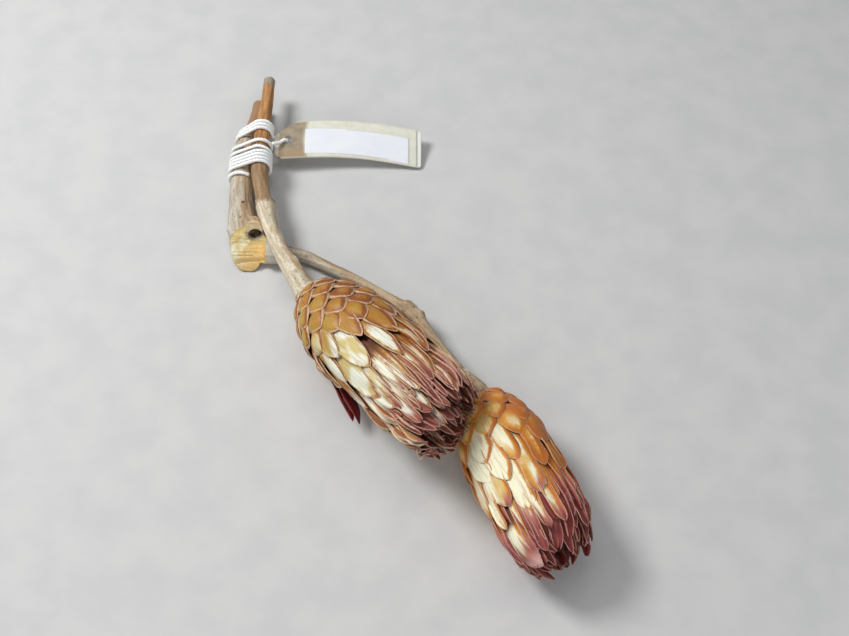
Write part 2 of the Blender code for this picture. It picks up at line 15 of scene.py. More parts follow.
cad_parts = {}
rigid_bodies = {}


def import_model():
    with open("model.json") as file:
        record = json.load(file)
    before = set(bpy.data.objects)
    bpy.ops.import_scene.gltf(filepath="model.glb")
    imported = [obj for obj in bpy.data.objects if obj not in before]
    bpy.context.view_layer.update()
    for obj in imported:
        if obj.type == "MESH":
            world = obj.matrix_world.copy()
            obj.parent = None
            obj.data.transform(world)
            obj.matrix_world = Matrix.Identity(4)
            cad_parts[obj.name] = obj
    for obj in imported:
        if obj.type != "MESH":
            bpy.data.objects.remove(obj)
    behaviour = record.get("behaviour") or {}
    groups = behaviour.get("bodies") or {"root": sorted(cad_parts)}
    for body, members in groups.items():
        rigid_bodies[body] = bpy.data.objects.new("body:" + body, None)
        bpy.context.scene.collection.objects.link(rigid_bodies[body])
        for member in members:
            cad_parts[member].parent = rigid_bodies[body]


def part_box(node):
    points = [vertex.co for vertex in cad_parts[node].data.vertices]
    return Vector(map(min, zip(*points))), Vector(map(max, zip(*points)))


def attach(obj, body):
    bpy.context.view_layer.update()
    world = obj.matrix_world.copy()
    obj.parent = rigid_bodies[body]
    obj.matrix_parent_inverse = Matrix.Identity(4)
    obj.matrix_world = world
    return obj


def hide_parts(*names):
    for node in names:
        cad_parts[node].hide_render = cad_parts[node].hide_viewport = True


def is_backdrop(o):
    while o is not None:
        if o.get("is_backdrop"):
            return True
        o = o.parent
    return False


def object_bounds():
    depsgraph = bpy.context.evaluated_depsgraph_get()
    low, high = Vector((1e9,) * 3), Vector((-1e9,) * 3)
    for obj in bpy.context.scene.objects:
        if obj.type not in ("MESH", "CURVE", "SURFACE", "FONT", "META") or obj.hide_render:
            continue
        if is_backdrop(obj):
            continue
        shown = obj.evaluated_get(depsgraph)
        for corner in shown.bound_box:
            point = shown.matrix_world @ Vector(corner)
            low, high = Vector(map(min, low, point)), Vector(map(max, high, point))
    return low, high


for old in list(bpy.data.objects):
    bpy.data.objects.remove(old)
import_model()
cad_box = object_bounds()

# Upper stem: the woody stem that bears the longer head, cut square at its top. Its bark is brown above the
# ringed node and thin and pale below it, where the stem narrows and then flares into the base of the head.
MM = 0.001
TURN = 2 * math.pi
UP = Vector((0, 0, 1))
MIDDLE_X = -14.0
MIDDLE_Y = 0.6


def place(x, y, z):
    """A layout point, in millimetres, from the middle of the bunch."""
    return Vector((x - MIDDLE_X, y - MIDDLE_Y, z))


def mix(low, high, share):
    return low + (high - low) * share


UPPER_BASE = place(-48.7, 3.9, 11.7)
UPPER_END = place(14.6, -80.0, 38.6)
NECK = 5.0
# The flare of a stem into a head: distance past the head's base, and how much wider than the neck it is.
FLARE = ((-3, -0.1), (0.5, 0.9), (5, 2.2))
# The middle of the stem and its radius, from the cut end to the neck.
UPPER_STEM_ROUTE = (
    (-73.3, 127.7, 13.4, 2.6),
    (-73.5, 115.2, 13.1, 2.9),
    (-74.3, 103.7, 12.8, 3.4),
    (-74.7, 88.0, 12.3, 3.7),
    (-74.0, 70.0, 12.2, 3.8),
    (-71.9, 58.0, 12.5, 3.5),
    (-70.8, 52.5, 12.8, 3.6),
    (-69.6, 48.5, 13.1, 4.1),
    (-68.4, 43.5, 13.6, 3.6),
    (-66.9, 38.0, 14.2, 3.4),
    (-63.6, 29.5, 14.7, 3.4),
    (-60.4, 22.5, 14.6, 3.7),
    (-55.8, 14.6, 13.6, 4.4),
)
STEM_SIDES = 36
STEM_STEP = 0.8
# Knots and scars: x, y, z, size, height and how dark they are. A shade below 0 is a bleached patch.
UPPER_STEM_MARKS = (
    (-66.3, 54.0, 13.4, 1.7, 1.3, -0.3),
    (-54.4, 19.7, 16.2, 1.7, 0.8, 0.1),
    (-54.2, 12.0, 16.9, 1.3, -0.3, 0.35),
    (-54.2, 12.0, 16.9, 2.4, 0.4, 0.25),
    (-72.6, 58.8, 16.9, 0.9, 0.25, 0.7),
    (-74.4, 66.0, 16.0, 0.7, 0.2, 0.5),
    (-62.6, 33.0, 18.4, 1.0, 0.2, 0.3),
    (-67.5, 43.0, 17.0, 1.2, 0.3, 0.2),
    (-49.6, 8.0, 17.4, 1.6, 0.7, -0.2),
    (-45.2, 8.0, 14.4, 1.7, 1.5, -0.5),
    (-47.6, 10.0, 13.0, 1.5, 0.8, -0.3),
    (-51.3, 0.9, 17.4, 1.9, 0.9, 0.3),
    (-52.8, 3.5, 14.6, 1.5, 0.8, 0.1),
    (-48.6, 4.4, 18.0, 1.4, 0.7, 0.0),
)
# The collar of the node: y, width and height of each ring round the stem.
UPPER_STEM_RINGS = ((53.4, 0.8, 0.45), (52.0, 0.5, -0.5), (50.2, 1.2, 0.45), (46.0, 0.9, 0.2))


def smooth_route(route, step):
    """A Catmull-Rom curve through four-number stations, read about every step millimetres."""
    middles = [Vector(station[:3]) for station in route]
    radii = [station[3] for station in route]
    points = []
    last = len(route) - 1
    for index in range(last):
        ends = [max(index - 1, 0), index, index + 1, min(index + 2, last)]
        pieces = max(round((middles[ends[2]] - middles[ends[1]]).length / step), 1)
        for piece in range(pieces):
            t = piece / pieces
            weights = (
                -0.5 * t + t * t - 0.5 * t**3,
                1 - 2.5 * t * t + 1.5 * t**3,
                0.5 * t + 2 * t * t - 1.5 * t**3,
                -0.5 * t * t + 0.5 * t**3,
            )
            point = sum((middles[end] * weight for end, weight in zip(ends, weights)), Vector())
            radius = sum(radii[end] * weight for end, weight in zip(ends, weights))
            points.append((point, radius))
    points.append((middles[last], radii[last]))
    return points


def laid(route):
    return [(*place(x, y, z), radius) for x, y, z, radius in route]


def run_into(route, base, end):
    """Lengthens a stem's route so that it flares into a head's base and ends inside it."""
    axis = (end - base).normalized()
    return laid(route) + [(*(base + axis * along), NECK + wider) for along, wider in FLARE]


def carried_frames(stations):
    """Axis, side and upper direction at each station, turned as little as possible from one to the next."""
    frames = []
    side = Vector((1, 0, 0))
    last = len(stations) - 1
    for index in range(last + 1):
        axis = (stations[min(index + 1, last)][0] - stations[max(index - 1, 0)][0]).normalized()
        side = (side - side.dot(axis) * axis).normalized()
        frames.append((axis, side, axis.cross(side)))
    return frames


def around(angle, side, over):
    """The direction at an angle from side towards over."""
    return side * math.cos(angle) + over * math.sin(angle)


def add_tube(body, stations, sides):
    """Adds a closed tube along (point, radius) stations to a mesh under construction."""
    rings = []
    for (point, radius), (_, side, over) in zip(stations, carried_frames(stations)):
        ring = []
        for number in range(sides):
            spoke = around(TURN * number / sides, side, over)
            ring.append(body.verts.new((point + spoke * radius) * MM))
        rings.append(ring)
    for first, second in zip(rings, rings[1:]):
        for number in range(sides):
            following = (number + 1) % sides
            body.faces.new((first[number], first[following], second[following], second[number]))
    body.faces.new(reversed(rings[0]))
    body.faces.new(rings[-1])


def mesh_from(body, name):
    mesh = bpy.data.meshes.new(name)
    body.to_mesh(mesh)
    body.free()
    return mesh


PRESS = 0.6
FOOTING = 0.3
# The layers of the bark's relief: the height of each, and how often it changes round the stem and along it.
BARK_LAYERS = ((0.26, 0.45, 0.05), (0.15, 1.3, 0.16), (0.07, 2.6, 0.9))


def above_table(height):
    """Height of a point once the table holds it up: all below a thin layer is squeezed into that layer."""
    if height > PRESS:
        return height
    layer = PRESS - FOOTING
    return FOOTING + layer * math.exp((height - PRESS) / layer)


def uneven(x, y, z):
    """A number between about -1 and 1 that wanders smoothly from place to place."""
    return noise.noise(Vector((x, y, z)))


def measured(line):
    """Each point of a line, with how far along the line it lies and its directions there."""
    along = 0
    before = line[0][0]
    for (point, _), directions in zip(line, carried_frames(line)):
        along += (point - before).length
        before = point
        yield point, along, directions


def weather(mesh, routes, marks, rings):
    """Gives a plain stem its bark relief, and each point its place in the grain and its share of a scar."""
    stations = [station for route in routes for station in measured(route)]
    nearest = kdtree.KDTree(len(stations))
    for index, (point, _, _) in enumerate(stations):
        nearest.insert(point, index)
    nearest.balance()
    for name, kind in (("grain", "FLOAT_VECTOR"), ("scar", "FLOAT")):
        mesh.attributes.new(name, kind, "POINT")
    grain = mesh.attributes["grain"].data
    scar = mesh.attributes["scar"].data
    moved = []
    for vertex in mesh.vertices:
        point = vertex.co / MM
        middle, along, (axis, side, over) = stations[nearest.find(point)[1]]
        offset = point - middle
        inner = Vector((offset.dot(side), offset.dot(over), along + offset.dot(axis)))
        height = 0
        for rise, across, lengthwise in BARK_LAYERS:
            height += rise * uneven(inner.x * across, inner.y * across, inner.z * lengthwise)
        layout_y = point.y + MIDDLE_Y
        for ring_y, width, rise in rings:
            height += rise * math.exp(-(((layout_y - ring_y) / width) ** 2))
        dark = 0
        for x, y, z, size, rise, shade in marks:
            share = math.exp(-((point - place(x, y, z)).length_squared) / size**2)
            height += rise * share
            dark += shade * share
        grain[vertex.index].vector = inner
        scar[vertex.index].value = dark
        moved.append(point + vertex.normal * height)
    for vertex, point in zip(mesh.vertices, moved):
        vertex.co = Vector((point.x, point.y, above_table(point.z))) * MM
    mesh.update()


class Wire:
    """A shader socket in an expression: sums, products and the like add their own Math nodes."""

    def __init__(self, tree, socket=None):
        self.tree = tree
        self.socket = socket

    def node(self, kind, settings=(), sockets=(), out=0):
        """Any node: its type, its settings, which are set first, and the values or links of its sockets."""
        made = self.tree.nodes.new("ShaderNode" + kind)
        for name, value in dict(settings).items():
            setattr(made, name, value)
        for name, value in dict(sockets).items():
            socket = made.inputs[name]
            if isinstance(value, Wire):
                self.tree.links.new(value.socket, socket)
            elif socket.type == "RGBA":
                socket.default_value = (*value, 1)
            else:
                socket.default_value = value
        return Wire(self.tree, made.outputs[out])

    def math(self, operation, *values):
        return self.node("Math", {"operation": operation}, enumerate(values))

    def __add__(self, other):
        return self.math("ADD", self, other)

    def __sub__(self, other):
        return self.math("SUBTRACT", self, other)

    def __rsub__(self, other):
        return self.math("SUBTRACT", other, self)

    def __mul__(self, other):
        return self.math("MULTIPLY", self, other)

    def __pow__(self, other):
        return self.math("POWER", self, other)

    def __rpow__(self, other):
        return self.math("POWER", other, self)

    def __abs__(self):
        return self.math("ABSOLUTE", self)

    __radd__ = __add__
    __rmul__ = __mul__

    def greater(self, other):
        return self.math("MAXIMUM", self, other)

    def between(self, low, high):
        """0 below low, 1 above high and smooth between them. With low above high it falls from 1 to 0."""
        sockets = {"Value": self, "From Min": low, "From Max": high}
        return self.node("MapRange", {"interpolation_type": "SMOOTHSTEP"}, sockets)

    def mix(self, low, high):
        """The colour low where this is 0 and high where it is 1."""
        return self.node("Mix", {"data_type": "RGBA"}, {0: self, 6: low, 7: high}, 2)

    def vector(self, operation, other, out=0):
        """The product, distance or the like of this vector and another one."""
        return self.node("VectorMath", {"operation": operation}, {0: self, 1: other}, out)

    def stretched(self, x, y, z):
        return self.vector("MULTIPLY", (x, y, z))

    def parts(self):
        """The three numbers of a vector."""
        split = self.node("SeparateXYZ", (), {0: self}).socket.node
        return [Wire(self.tree, socket) for socket in split.outputs]

    def noise(self, scale, detail=2.0, roughness=0.5):
        sockets = {"Vector": self, "Scale": scale, "Detail": detail, "Roughness": roughness}
        return self.node("TexNoise", (), sockets)

    def attribute(self, name, out="Vector"):
        return self.node("Attribute", {"attribute_name": name}, (), out)

    def coordinates(self):
        """Where a point lies in the bunch, in metres."""
        return self.node("TexCoord", (), (), "Object")


def start_finish(name):
    """A new material, and the empty wire that its expressions start from."""
    material = bpy.data.materials.new(name)
    material.use_nodes = True
    return material, Wire(material.node_tree)


def end_finish(material, colour, roughness, relief, depth, constants=()):
    """Feeds a material's shader. Relief is a height from 0 to 1, and depth is what 1 stands for, in mm."""
    bump = colour.node("Bump", (), {"Height": relief, "Distance": depth * MM, "Strength": 1.0})
    shader = material.node_tree.nodes["Principled BSDF"]
    for name, wire in (("Base Color", colour), ("Roughness", roughness), ("Normal", bump)):
        if isinstance(wire, Wire):
            material.node_tree.links.new(wire.socket, shader.inputs[name])
        else:
            shader.inputs[name].default_value = wire
    for name, value in dict(constants).items():
        shader.inputs[name].default_value = value
    return material


def add_piece(name, mesh, finish, slot, *nodes):
    """Adds a mesh to the bunch as a piece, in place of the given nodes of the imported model."""
    piece = bpy.data.objects.new(name, mesh)
    bpy.context.scene.collection.objects.link(piece)
    mesh.materials.clear()
    mesh.materials.append(finish)
    mesh.shade_smooth()
    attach(piece, "root")
    if nodes:
        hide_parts(*nodes)


# Where the stem has its ringed node and its cut top, in metres.
NODE_Y = (52.2 - MIDDLE_Y) * MM
TOP_Y = (124.0 - MIDDLE_Y) * MM


def upper_bark():
    material, wire = start_finish("upper_stem_bark")
    grain = wire.attribute("grain")
    scar = wire.attribute("scar", "Fac")
    streaks = grain.stretched(1, 1, 0.12).noise(0.75, 3.0)
    fine = grain.stretched(1, 1, 0.2).noise(3.2, 3.0, 0.6)
    patches = grain.stretched(1, 1, 0.4).noise(0.3, 3.0)
    specks = grain.stretched(1, 1, 0.7).noise(1.6, 1.0)
    across, _, _ = grain.parts()
    _, y, _ = wire.coordinates().parts()
    brown = streaks.between(0.35, 0.65).mix((0.32, 0.135, 0.04), (0.58, 0.29, 0.10))
    lower = streaks.between(0.3, 0.75).mix((0.26, 0.15, 0.07), (0.44, 0.29, 0.16))
    brown = (y + (patches - 0.5) * 0.02).between(TOP_Y - 0.036, TOP_Y - 0.048).mix(brown, lower)
    pale = streaks.between(0.35, 0.68).mix((0.56, 0.47, 0.33), (0.80, 0.72, 0.56))
    pale = (patches + across * 0.03).between(0.54, 0.72).mix(pale, (0.52, 0.36, 0.20))
    above_node = (y + (patches - 0.5) * 0.006).between(NODE_Y - 0.0006, NODE_Y + 0.0008)
    colour = above_node.mix(pale, brown)
    weathered = (y + (streaks - 0.5) * 0.006).between(TOP_Y - 0.003, TOP_Y + 0.001)
    colour = weathered.mix(colour, (0.36, 0.30, 0.23))
    colour = (specks.between(0.62, 0.7) * 0.6).mix(colour, (0.13, 0.08, 0.045))
    colour = (fine.between(0.5, 0.25) * 0.45).mix(colour, (0.16, 0.1, 0.06))
    colour = scar.between(0.15, 0.8).mix(colour, (0.17, 0.12, 0.04))
    colour = scar.between(-0.1, -0.5).mix(colour, (0.62, 0.56, 0.46))
    return end_finish(material, colour, fine * 0.25 + 0.55, fine * 0.6 + streaks * 0.4, 0.35)


upper_stem_line = smooth_route(run_into(UPPER_STEM_ROUTE, UPPER_BASE, UPPER_END), STEM_STEP)
upper_stem_body = bmesh.new()
add_tube(upper_stem_body, upper_stem_line, STEM_SIDES)
upper_stem_mesh = mesh_from(upper_stem_body, "upper_stem")
weather(upper_stem_mesh, [upper_stem_line], UPPER_STEM_MARKS, UPPER_STEM_RINGS)
add_piece("upper_stem", upper_stem_mesh, upper_bark(), "upper_stem_bark", "stem_upper")

# Sawn branch: a thicker branch with an oblique saw cut, a hollow stub where a shoot broke off and the side
# shoot that bears the shorter head. It is one piece of wood, so its limbs are grown together before the saw
# cuts it.
LOWER_BASE = place(20.4, -48.4, 15.8)
LOWER_END = place(53.0, -126.6, 19.7)
BRANCH_ROUTE = (
    (-78.0, 119.5, 5.8, 3.1),
    (-78.8, 108.0, 6.3, 3.5),
    (-81.4, 97.0, 6.6, 4.1),
    (-82.9, 86.0, 7.0, 4.5),
    (-82.8, 74.0, 7.2, 4.7),
    (-82.1, 58.0, 7.3, 5.3),
    (-80.4, 46.0, 7.3, 6.6),
    (-78.3, 36.0, 7.2, 7.0),
    (-76.5, 18.0, 7.0, 7.0),
)
SHOOT_ROUTE = (
    (-77.0, 39.0, 6.4, 5.8),
    (-71.0, 32.6, 5.8, 5.8),
    (-64.0, 30.8, 4.9, 4.6),
    (-55.4, 30.6, 4.3, 2.9),
    (-50.0, 28.8, 4.1, 2.6),
    (-45.0, 25.7, 4.2, 2.4),
    (-30.0, 16.3, 5.6, 2.3),
    (-18.5, 7.0, 7.5, 2.4),
    (-10.5, 0.6, 8.9, 2.6),
    (-5.6, -3.6, 9.6, 3.2),
    (-2.0, -9.2, 10.4, 2.8),
    (2.6, -17.7, 11.9, 2.4),
    (8.8, -28.2, 13.8, 2.5),
    (13.5, -36.5, 15.0, 2.9),
)
BRANCH_SIDES = 32
# The limbs grow together in cells of this size, and are then eased this many times.
GROWN_TOGETHER = 0.5
EASINGS = 5
CUT_POINT = place(-77.5, 31.0, 7.2)
CUT_NORMAL = Vector((0, -0.73, 0.69)).normalized()
CUT_SIZE = 38.0
CUT_GRID = 76
CUT_RIGHT_X = -69.2
SAW_MARK_HEIGHT = 0.03
SAW_MARK_PACE = 2.9
SAW_MARK_SLANT = 0.25
# The layers of the sawn face's unevenness: the height of each, how often it changes and where it starts.
CUT_LAYERS = ((0.22, 0.4, 3), (0.10, 1.3, 8))
STUB_POINT = place(-74.6, 38.2, 12.6)
STUB_AXIS = Vector((0.12, -0.94, 0.32)).normalized()
STUB_BREADTH = 1.3
# The stub and the hollow in it: distance along the stub's axis and radius.
STUB = ((-7.0, 3.0), (-2.0, 3.1), (0.8, 3.5), (1.9, 3.3))
HOLLOW = ((-2.2, 0.8), (-1.4, 1.6), (-0.2, 2.1), (1.8, 2.4), (4.0, 2.6))
HOLLOW_SIDES = 18
HOLLOW_POINT = STUB_POINT + Vector((0.5, -0.4, -1.2))
# The place that the stub's colours are measured from.
STUB_HEART = HOLLOW_POINT - STUB_AXIS * 0.8
# The branch's knots and scars, and its collar's rings, given as for the upper stem.
BRANCH_MARKS = (
    (-80.2, 53.5, 12.9, 0.9, -0.3, 0.9),
    (-80.2, 53.5, 12.9, 1.8, 0.25, 0.1),
    (-80.7, 44.2, 13.9, 0.8, -0.3, 0.8),
    (-86.6, 40.4, 9.4, 1.4, 1.1, -0.4),
    (-85.2, 62.0, 11.4, 1.4, 0.3, 0.2),
    (-79.5, 70.0, 11.6, 1.2, 0.3, 0.4),
    (-72.0, 35.0, 11.0, 1.6, 0.8, 0.2),
    (-67.8, 32.0, 9.4, 3.6, 0.3, -0.9),
    (-66.5, 28.5, 6.5, 3.2, 0.3, -0.7),
    (-69.6, 33.6, 10.6, 1.2, 0.6, -0.3),
    (-71.4, 35.6, 11.4, 1.3, 1.0, 0.3),
    (-76.6, 35.4, 12.0, 1.2, 0.8, -0.2),
    (-73.8, 34.6, 10.8, 1.3, 1.0, 0.4),
    (-51.6, 28.2, 6.6, 1.6, 0.2, 0.5),
    (-36.3, 18.6, 7.6, 1.2, 0.3, 0.3),
    (-24.0, 11.5, 8.9, 1.1, 0.25, 0.3),
    (-6.9, -0.7, 12.0, 1.8, 1.2, 0.1),
    (-1.4, -5.7, 11.5, 1.9, 1.2, 0.15),
    (-6.5, -7.0, 12.4, 1.6, 0.9, 0.3),
    (-4.2, -3.0, 12.8, 1.0, -0.5, 0.7),
    (-3.2, -8.8, 12.8, 1.0, -0.4, 0.6),
    (-8.6, -3.4, 10.6, 1.4, 0.7, 0.5),
    (3.5, -16.4, 14.0, 1.0, 0.3, 0.3),
)
BRANCH_RINGS = ((-1.0, 1.0, 0.2), (-4.4, 0.8, -0.2), (-8.0, 0.9, 0.15))


def add_stub(body, middle, profile, sides):
    """Adds the broken shoot's stub, or the hollow in it, from its profile. Both are wider than high."""
    first = len(body.verts)
    add_tube(body, [(middle + STUB_AXIS * up, radius) for up, radius in profile], sides)
    body.verts.ensure_lookup_table()
    for vertex in body.verts[first:]:
        vertex.co.x = mix(STUB_POINT.x * MM, vertex.co.x, STUB_BREADTH)


def applied(piece):
    """The mesh of an object with its modifiers applied. The object is removed."""
    graph = bpy.context.evaluated_depsgraph_get()
    mesh = bpy.data.meshes.new_from_object(piece.evaluated_get(graph))
    bpy.data.objects.remove(piece)
    return mesh


def helper(mesh):
    made = bpy.data.objects.new("helper", mesh)
    bpy.context.scene.collection.objects.link(made)
    return made


def cut_away(mesh, cutter_mesh):
    """The mesh less the cutter's."""
    target = helper(mesh)
    cutter = helper(cutter_mesh)
    cut = target.modifiers.new("cut", "BOOLEAN")
    cut.object = cutter
    cut.solver = "EXACT"
    made = applied(target)
    bpy.data.objects.remove(cutter)
    return made


def saw_block():
    """A block whose lower face is sawn: nearly flat, with low ridges that the saw's teeth left."""
    body = bmesh.new()
    bmesh.ops.create_grid(body, x_segments=CUT_GRID, y_segments=CUT_GRID, size=CUT_SIZE / 2)
    turned = CUT_NORMAL.to_track_quat("Z", "Y").to_matrix()
    middle = Vector((place(CUT_RIGHT_X, 0, 0).x - CUT_SIZE / 2, CUT_POINT.y, CUT_POINT.z))
    for vertex in body.verts:
        x, y, _ = vertex.co
        ridges = SAW_MARK_HEIGHT * math.sin(SAW_MARK_PACE * y + SAW_MARK_SLANT * x)
        for height, often, start in CUT_LAYERS:
            ridges += height * uneven(x * often, y * often, start)
        vertex.co = (middle + turned @ Vector((x, y, ridges))) * MM
    block = helper(mesh_from(body, "saw"))
    thick = block.modifiers.new("thickness", "SOLIDIFY")
    thick.thickness = CUT_SIZE * MM
    thick.offset = 1
    return applied(block)


def old_bark(grain, scar, coordinates, fine, streaks):
    """Grey bark, tan along the side shoot, with specks, fine cracks, scars and a browner far end."""
    across, _, _ = grain.parts()
    x, y, _ = coordinates.parts()
    patches = grain.stretched(1, 1, 0.3).noise(0.22)
    specks = grain.stretched(1, 1, 0.8).noise(1.3, 1.0)
    grey = streaks.between(0.35, 0.65).mix((0.40, 0.34, 0.26), (0.62, 0.57, 0.46))
    tan = streaks.between(0.35, 0.65).mix((0.34, 0.22, 0.12), (0.54, 0.41, 0.26))
    # The across term paints one flank of the branch tan: partly the bark's own colour, partly painted shade.
    bark = (patches * 1.2 + across * 0.09 + x.between(-0.045, 0.0) * 0.5 - 0.55).between(-0.15, 0.35)
    bark = bark.mix(grey, tan)
    bark = (specks.between(0.64, 0.7) * 0.6).mix(bark, (0.14, 0.09, 0.05))
    bark = (fine.between(0.5, 0.25) * 0.45).mix(bark, (0.17, 0.12, 0.08))
    bark = scar.between(0.2, 0.8).mix(bark, (0.08, 0.05, 0.03))
    bark = scar.between(-0.1, -0.6).mix(bark, (0.56, 0.52, 0.45))
    return (y + (patches - 0.5) * 0.03).between(0.090, 0.104).mix(bark, (0.34, 0.20, 0.10))


def sawn_wood(grain, coordinates, blotches):
    """Pale wood, tanned on one side, with growth rings and rays. Gives its colour and its relief."""
    across, over, _ = grain.parts()
    x, _, z = coordinates.vector("SUBTRACT", CUT_POINT * MM).parts()
    radius = (across * across + over * over) ** 0.5
    wavy = (radius + (coordinates.noise(180.0) - 0.5) * 2.5) * 4.2
    rings = wavy.math("SINE", wavy)
    rays = coordinates.noise(520.0, 3.0, 0.6)
    tanned = (x * 70.0 - z * 60.0 + (blotches - 0.5) * 1.6).between(-0.55, 0.35)
    wood = tanned.mix((0.92, 0.90, 0.66), (0.86, 0.58, 0.21))
    wood = (blotches + z * 60.0).between(0.52, 0.85).mix(wood, (0.76, 0.59, 0.23))
    wood = (rings.between(0.3, 0.95) * 0.2).mix(wood, (0.52, 0.29, 0.08))
    wood = (rays.between(0.56, 0.7) * 0.45).mix(wood, (0.93, 0.86, 0.60))
    wood = (rays.between(0.46, 0.36) * 0.3).mix(wood, (0.58, 0.36, 0.12))
    wood = radius.between(6.1, 6.9).mix(wood, (0.52, 0.36, 0.16))
    return wood, rings * 0.12 + rays


def broken_stub(colour, coordinates, from_stub, blotches):
    """A colour with the broken stub's over it: dull bark, a fresher lip and the hollow, painted dark as
    shade.
    """
    _, y, z = coordinates.vector("SUBTRACT", STUB_POINT * MM).parts()
    dull = blotches.between(0.4, 0.6).mix((0.20, 0.14, 0.09), (0.42, 0.35, 0.26))
    fresh = (z * 1.5 + y * 0.5 + (blotches - 0.5) * 0.004).between(-0.0008, 0.0008)
    lip = fresh.mix(dull, (0.66, 0.50, 0.29))
    colour = from_stub.between(0.0052, 0.0044).mix(colour, lip)
    # The hollow is painted near-black: painted shade in the recess.
    hollow_painted_shade = blotches.between(0.5, 0.65).mix((0.06, 0.035, 0.018), (0.26, 0.19, 0.13))
    return from_stub.between(0.0033, 0.0026).mix(colour, hollow_painted_shade)


def branch_bark():
    """Bark, and bare wood where the saw cut the branch or the stub broke. Distances are in metres."""
    material, wire = start_finish("branch_bark")
    grain = wire.attribute("grain")
    scar = wire.attribute("scar", "Fac")
    coordinates = wire.coordinates()
    streaks = grain.stretched(1, 1, 0.1).noise(0.7, 3.0)
    fine = grain.stretched(1, 1, 0.22).noise(2.8, 3.0, 0.6)
    blotches = coordinates.noise(230.0, 3.0, 0.6)
    bark = old_bark(grain, scar, coordinates, fine, streaks)
    wood, wood_relief = sawn_wood(grain, coordinates, blotches)
    from_cut = coordinates.vector("SUBTRACT", CUT_POINT * MM)
    height = from_cut.vector("DOT_PRODUCT", CUT_NORMAL, "Value")
    x, _, _ = from_cut.parts()
    from_stub = coordinates.vector("DISTANCE", STUB_HEART * MM, "Value")
    sawn = height.between(-0.00062, -0.0005) * x.between(0.0090, 0.0085)
    sawn = sawn * from_stub.between(0.0040, 0.0046)
    colour = broken_stub(sawn.mix(bark, wood), coordinates, from_stub, blotches)
    reliefs = {0: sawn, 2: fine * 0.6 + streaks * 0.4, 3: wood_relief}
    relief = sawn.node("Mix", {"data_type": "FLOAT"}, reliefs, 0)
    return end_finish(material, colour, fine * 0.25 + 0.55, relief, 0.35)


branch_line = smooth_route(laid(BRANCH_ROUTE), STEM_STEP)
shoot_line = smooth_route(run_into(SHOOT_ROUTE, LOWER_BASE, LOWER_END), STEM_STEP)
branch_body = bmesh.new()
add_tube(branch_body, branch_line, BRANCH_SIDES)
add_tube(branch_body, shoot_line, BRANCH_SIDES)
add_stub(branch_body, STUB_POINT, STUB, BRANCH_SIDES)
grown = helper(mesh_from(branch_body, "branch"))
union = grown.modifiers.new("union", "REMESH")
union.mode = "VOXEL"
union.voxel_size = GROWN_TOGETHER * MM
eased = grown.modifiers.new("eased", "SMOOTH")
eased.iterations = EASINGS
branch_mesh = applied(grown)
weather(branch_mesh, [branch_line, shoot_line], BRANCH_MARKS, BRANCH_RINGS)
hollow_body = bmesh.new()
add_stub(hollow_body, HOLLOW_POINT, HOLLOW, HOLLOW_SIDES)
branch_mesh = cut_away(branch_mesh, saw_block())
branch_mesh = cut_away(branch_mesh, mesh_from(hollow_body, "hollow"))
add_piece("sawn_branch", branch_mesh, branch_bark(), "branch_bark", "branch_lower")

# Upper flower head: thin dry bracts on a woody core, in a golden-angle spiral. Short leathery scales with
# pale fringed edges cover the base, long papery bracts cover the rest, and dry florets stand packed inside
# their tips.
GOLDEN_ANGLE = math.radians(137.5077)
BLADE_THICKNESS = 0.3
BLADE_COLUMNS = 9
SCALE_BLADE_ROWS = 12
LONG_BLADE_ROWS = 19
FIRST_TIP = 5.4
SCALE_LENGTH = 15.0
LONG_LENGTH = 46.0
SCALE_SLOPE = 0.105
LONG_SLOPE = 0.058
# Between these shares of a head's length its bracts turn narrow and crowded.
CROWDED = (0.7, 0.84)
# Over the first part of its length, a bract dives to the core that it grows from.
ROOT_SHARE = 0.3
ROOT_DIVE = 1.3
# How far its edges waver, of its width, and how uneven its face is, both at the most.
EDGE_WAVER = 0.24
FACE_UNEVEN = 0.35
# Its number times these is its own place in the noise of its shape and of its grain.
SHAPE_PACE = 7.31
GRAIN_PACE = 3.7
# Its rows lie closer together towards its tip, and points nearer than this are welded.
ROW_CROWDING = 1.4
WELD = 0.01
# A head keeps this far off the one that carries it, gives way softly and only near it, and stays this far
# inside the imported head's box.
LEAN_CLEARANCE = 1.1
LEAN_SOFTNESS = 2.2
LEAN_REACH = 8.0
BOX_INSET = 0.35


def smooth_share(value, low, high):
    """0 below low, 1 above high and an S-curve between."""
    share = min(max((value - low) / (high - low), 0), 1)
    return share * share * (3 - 2 * share)


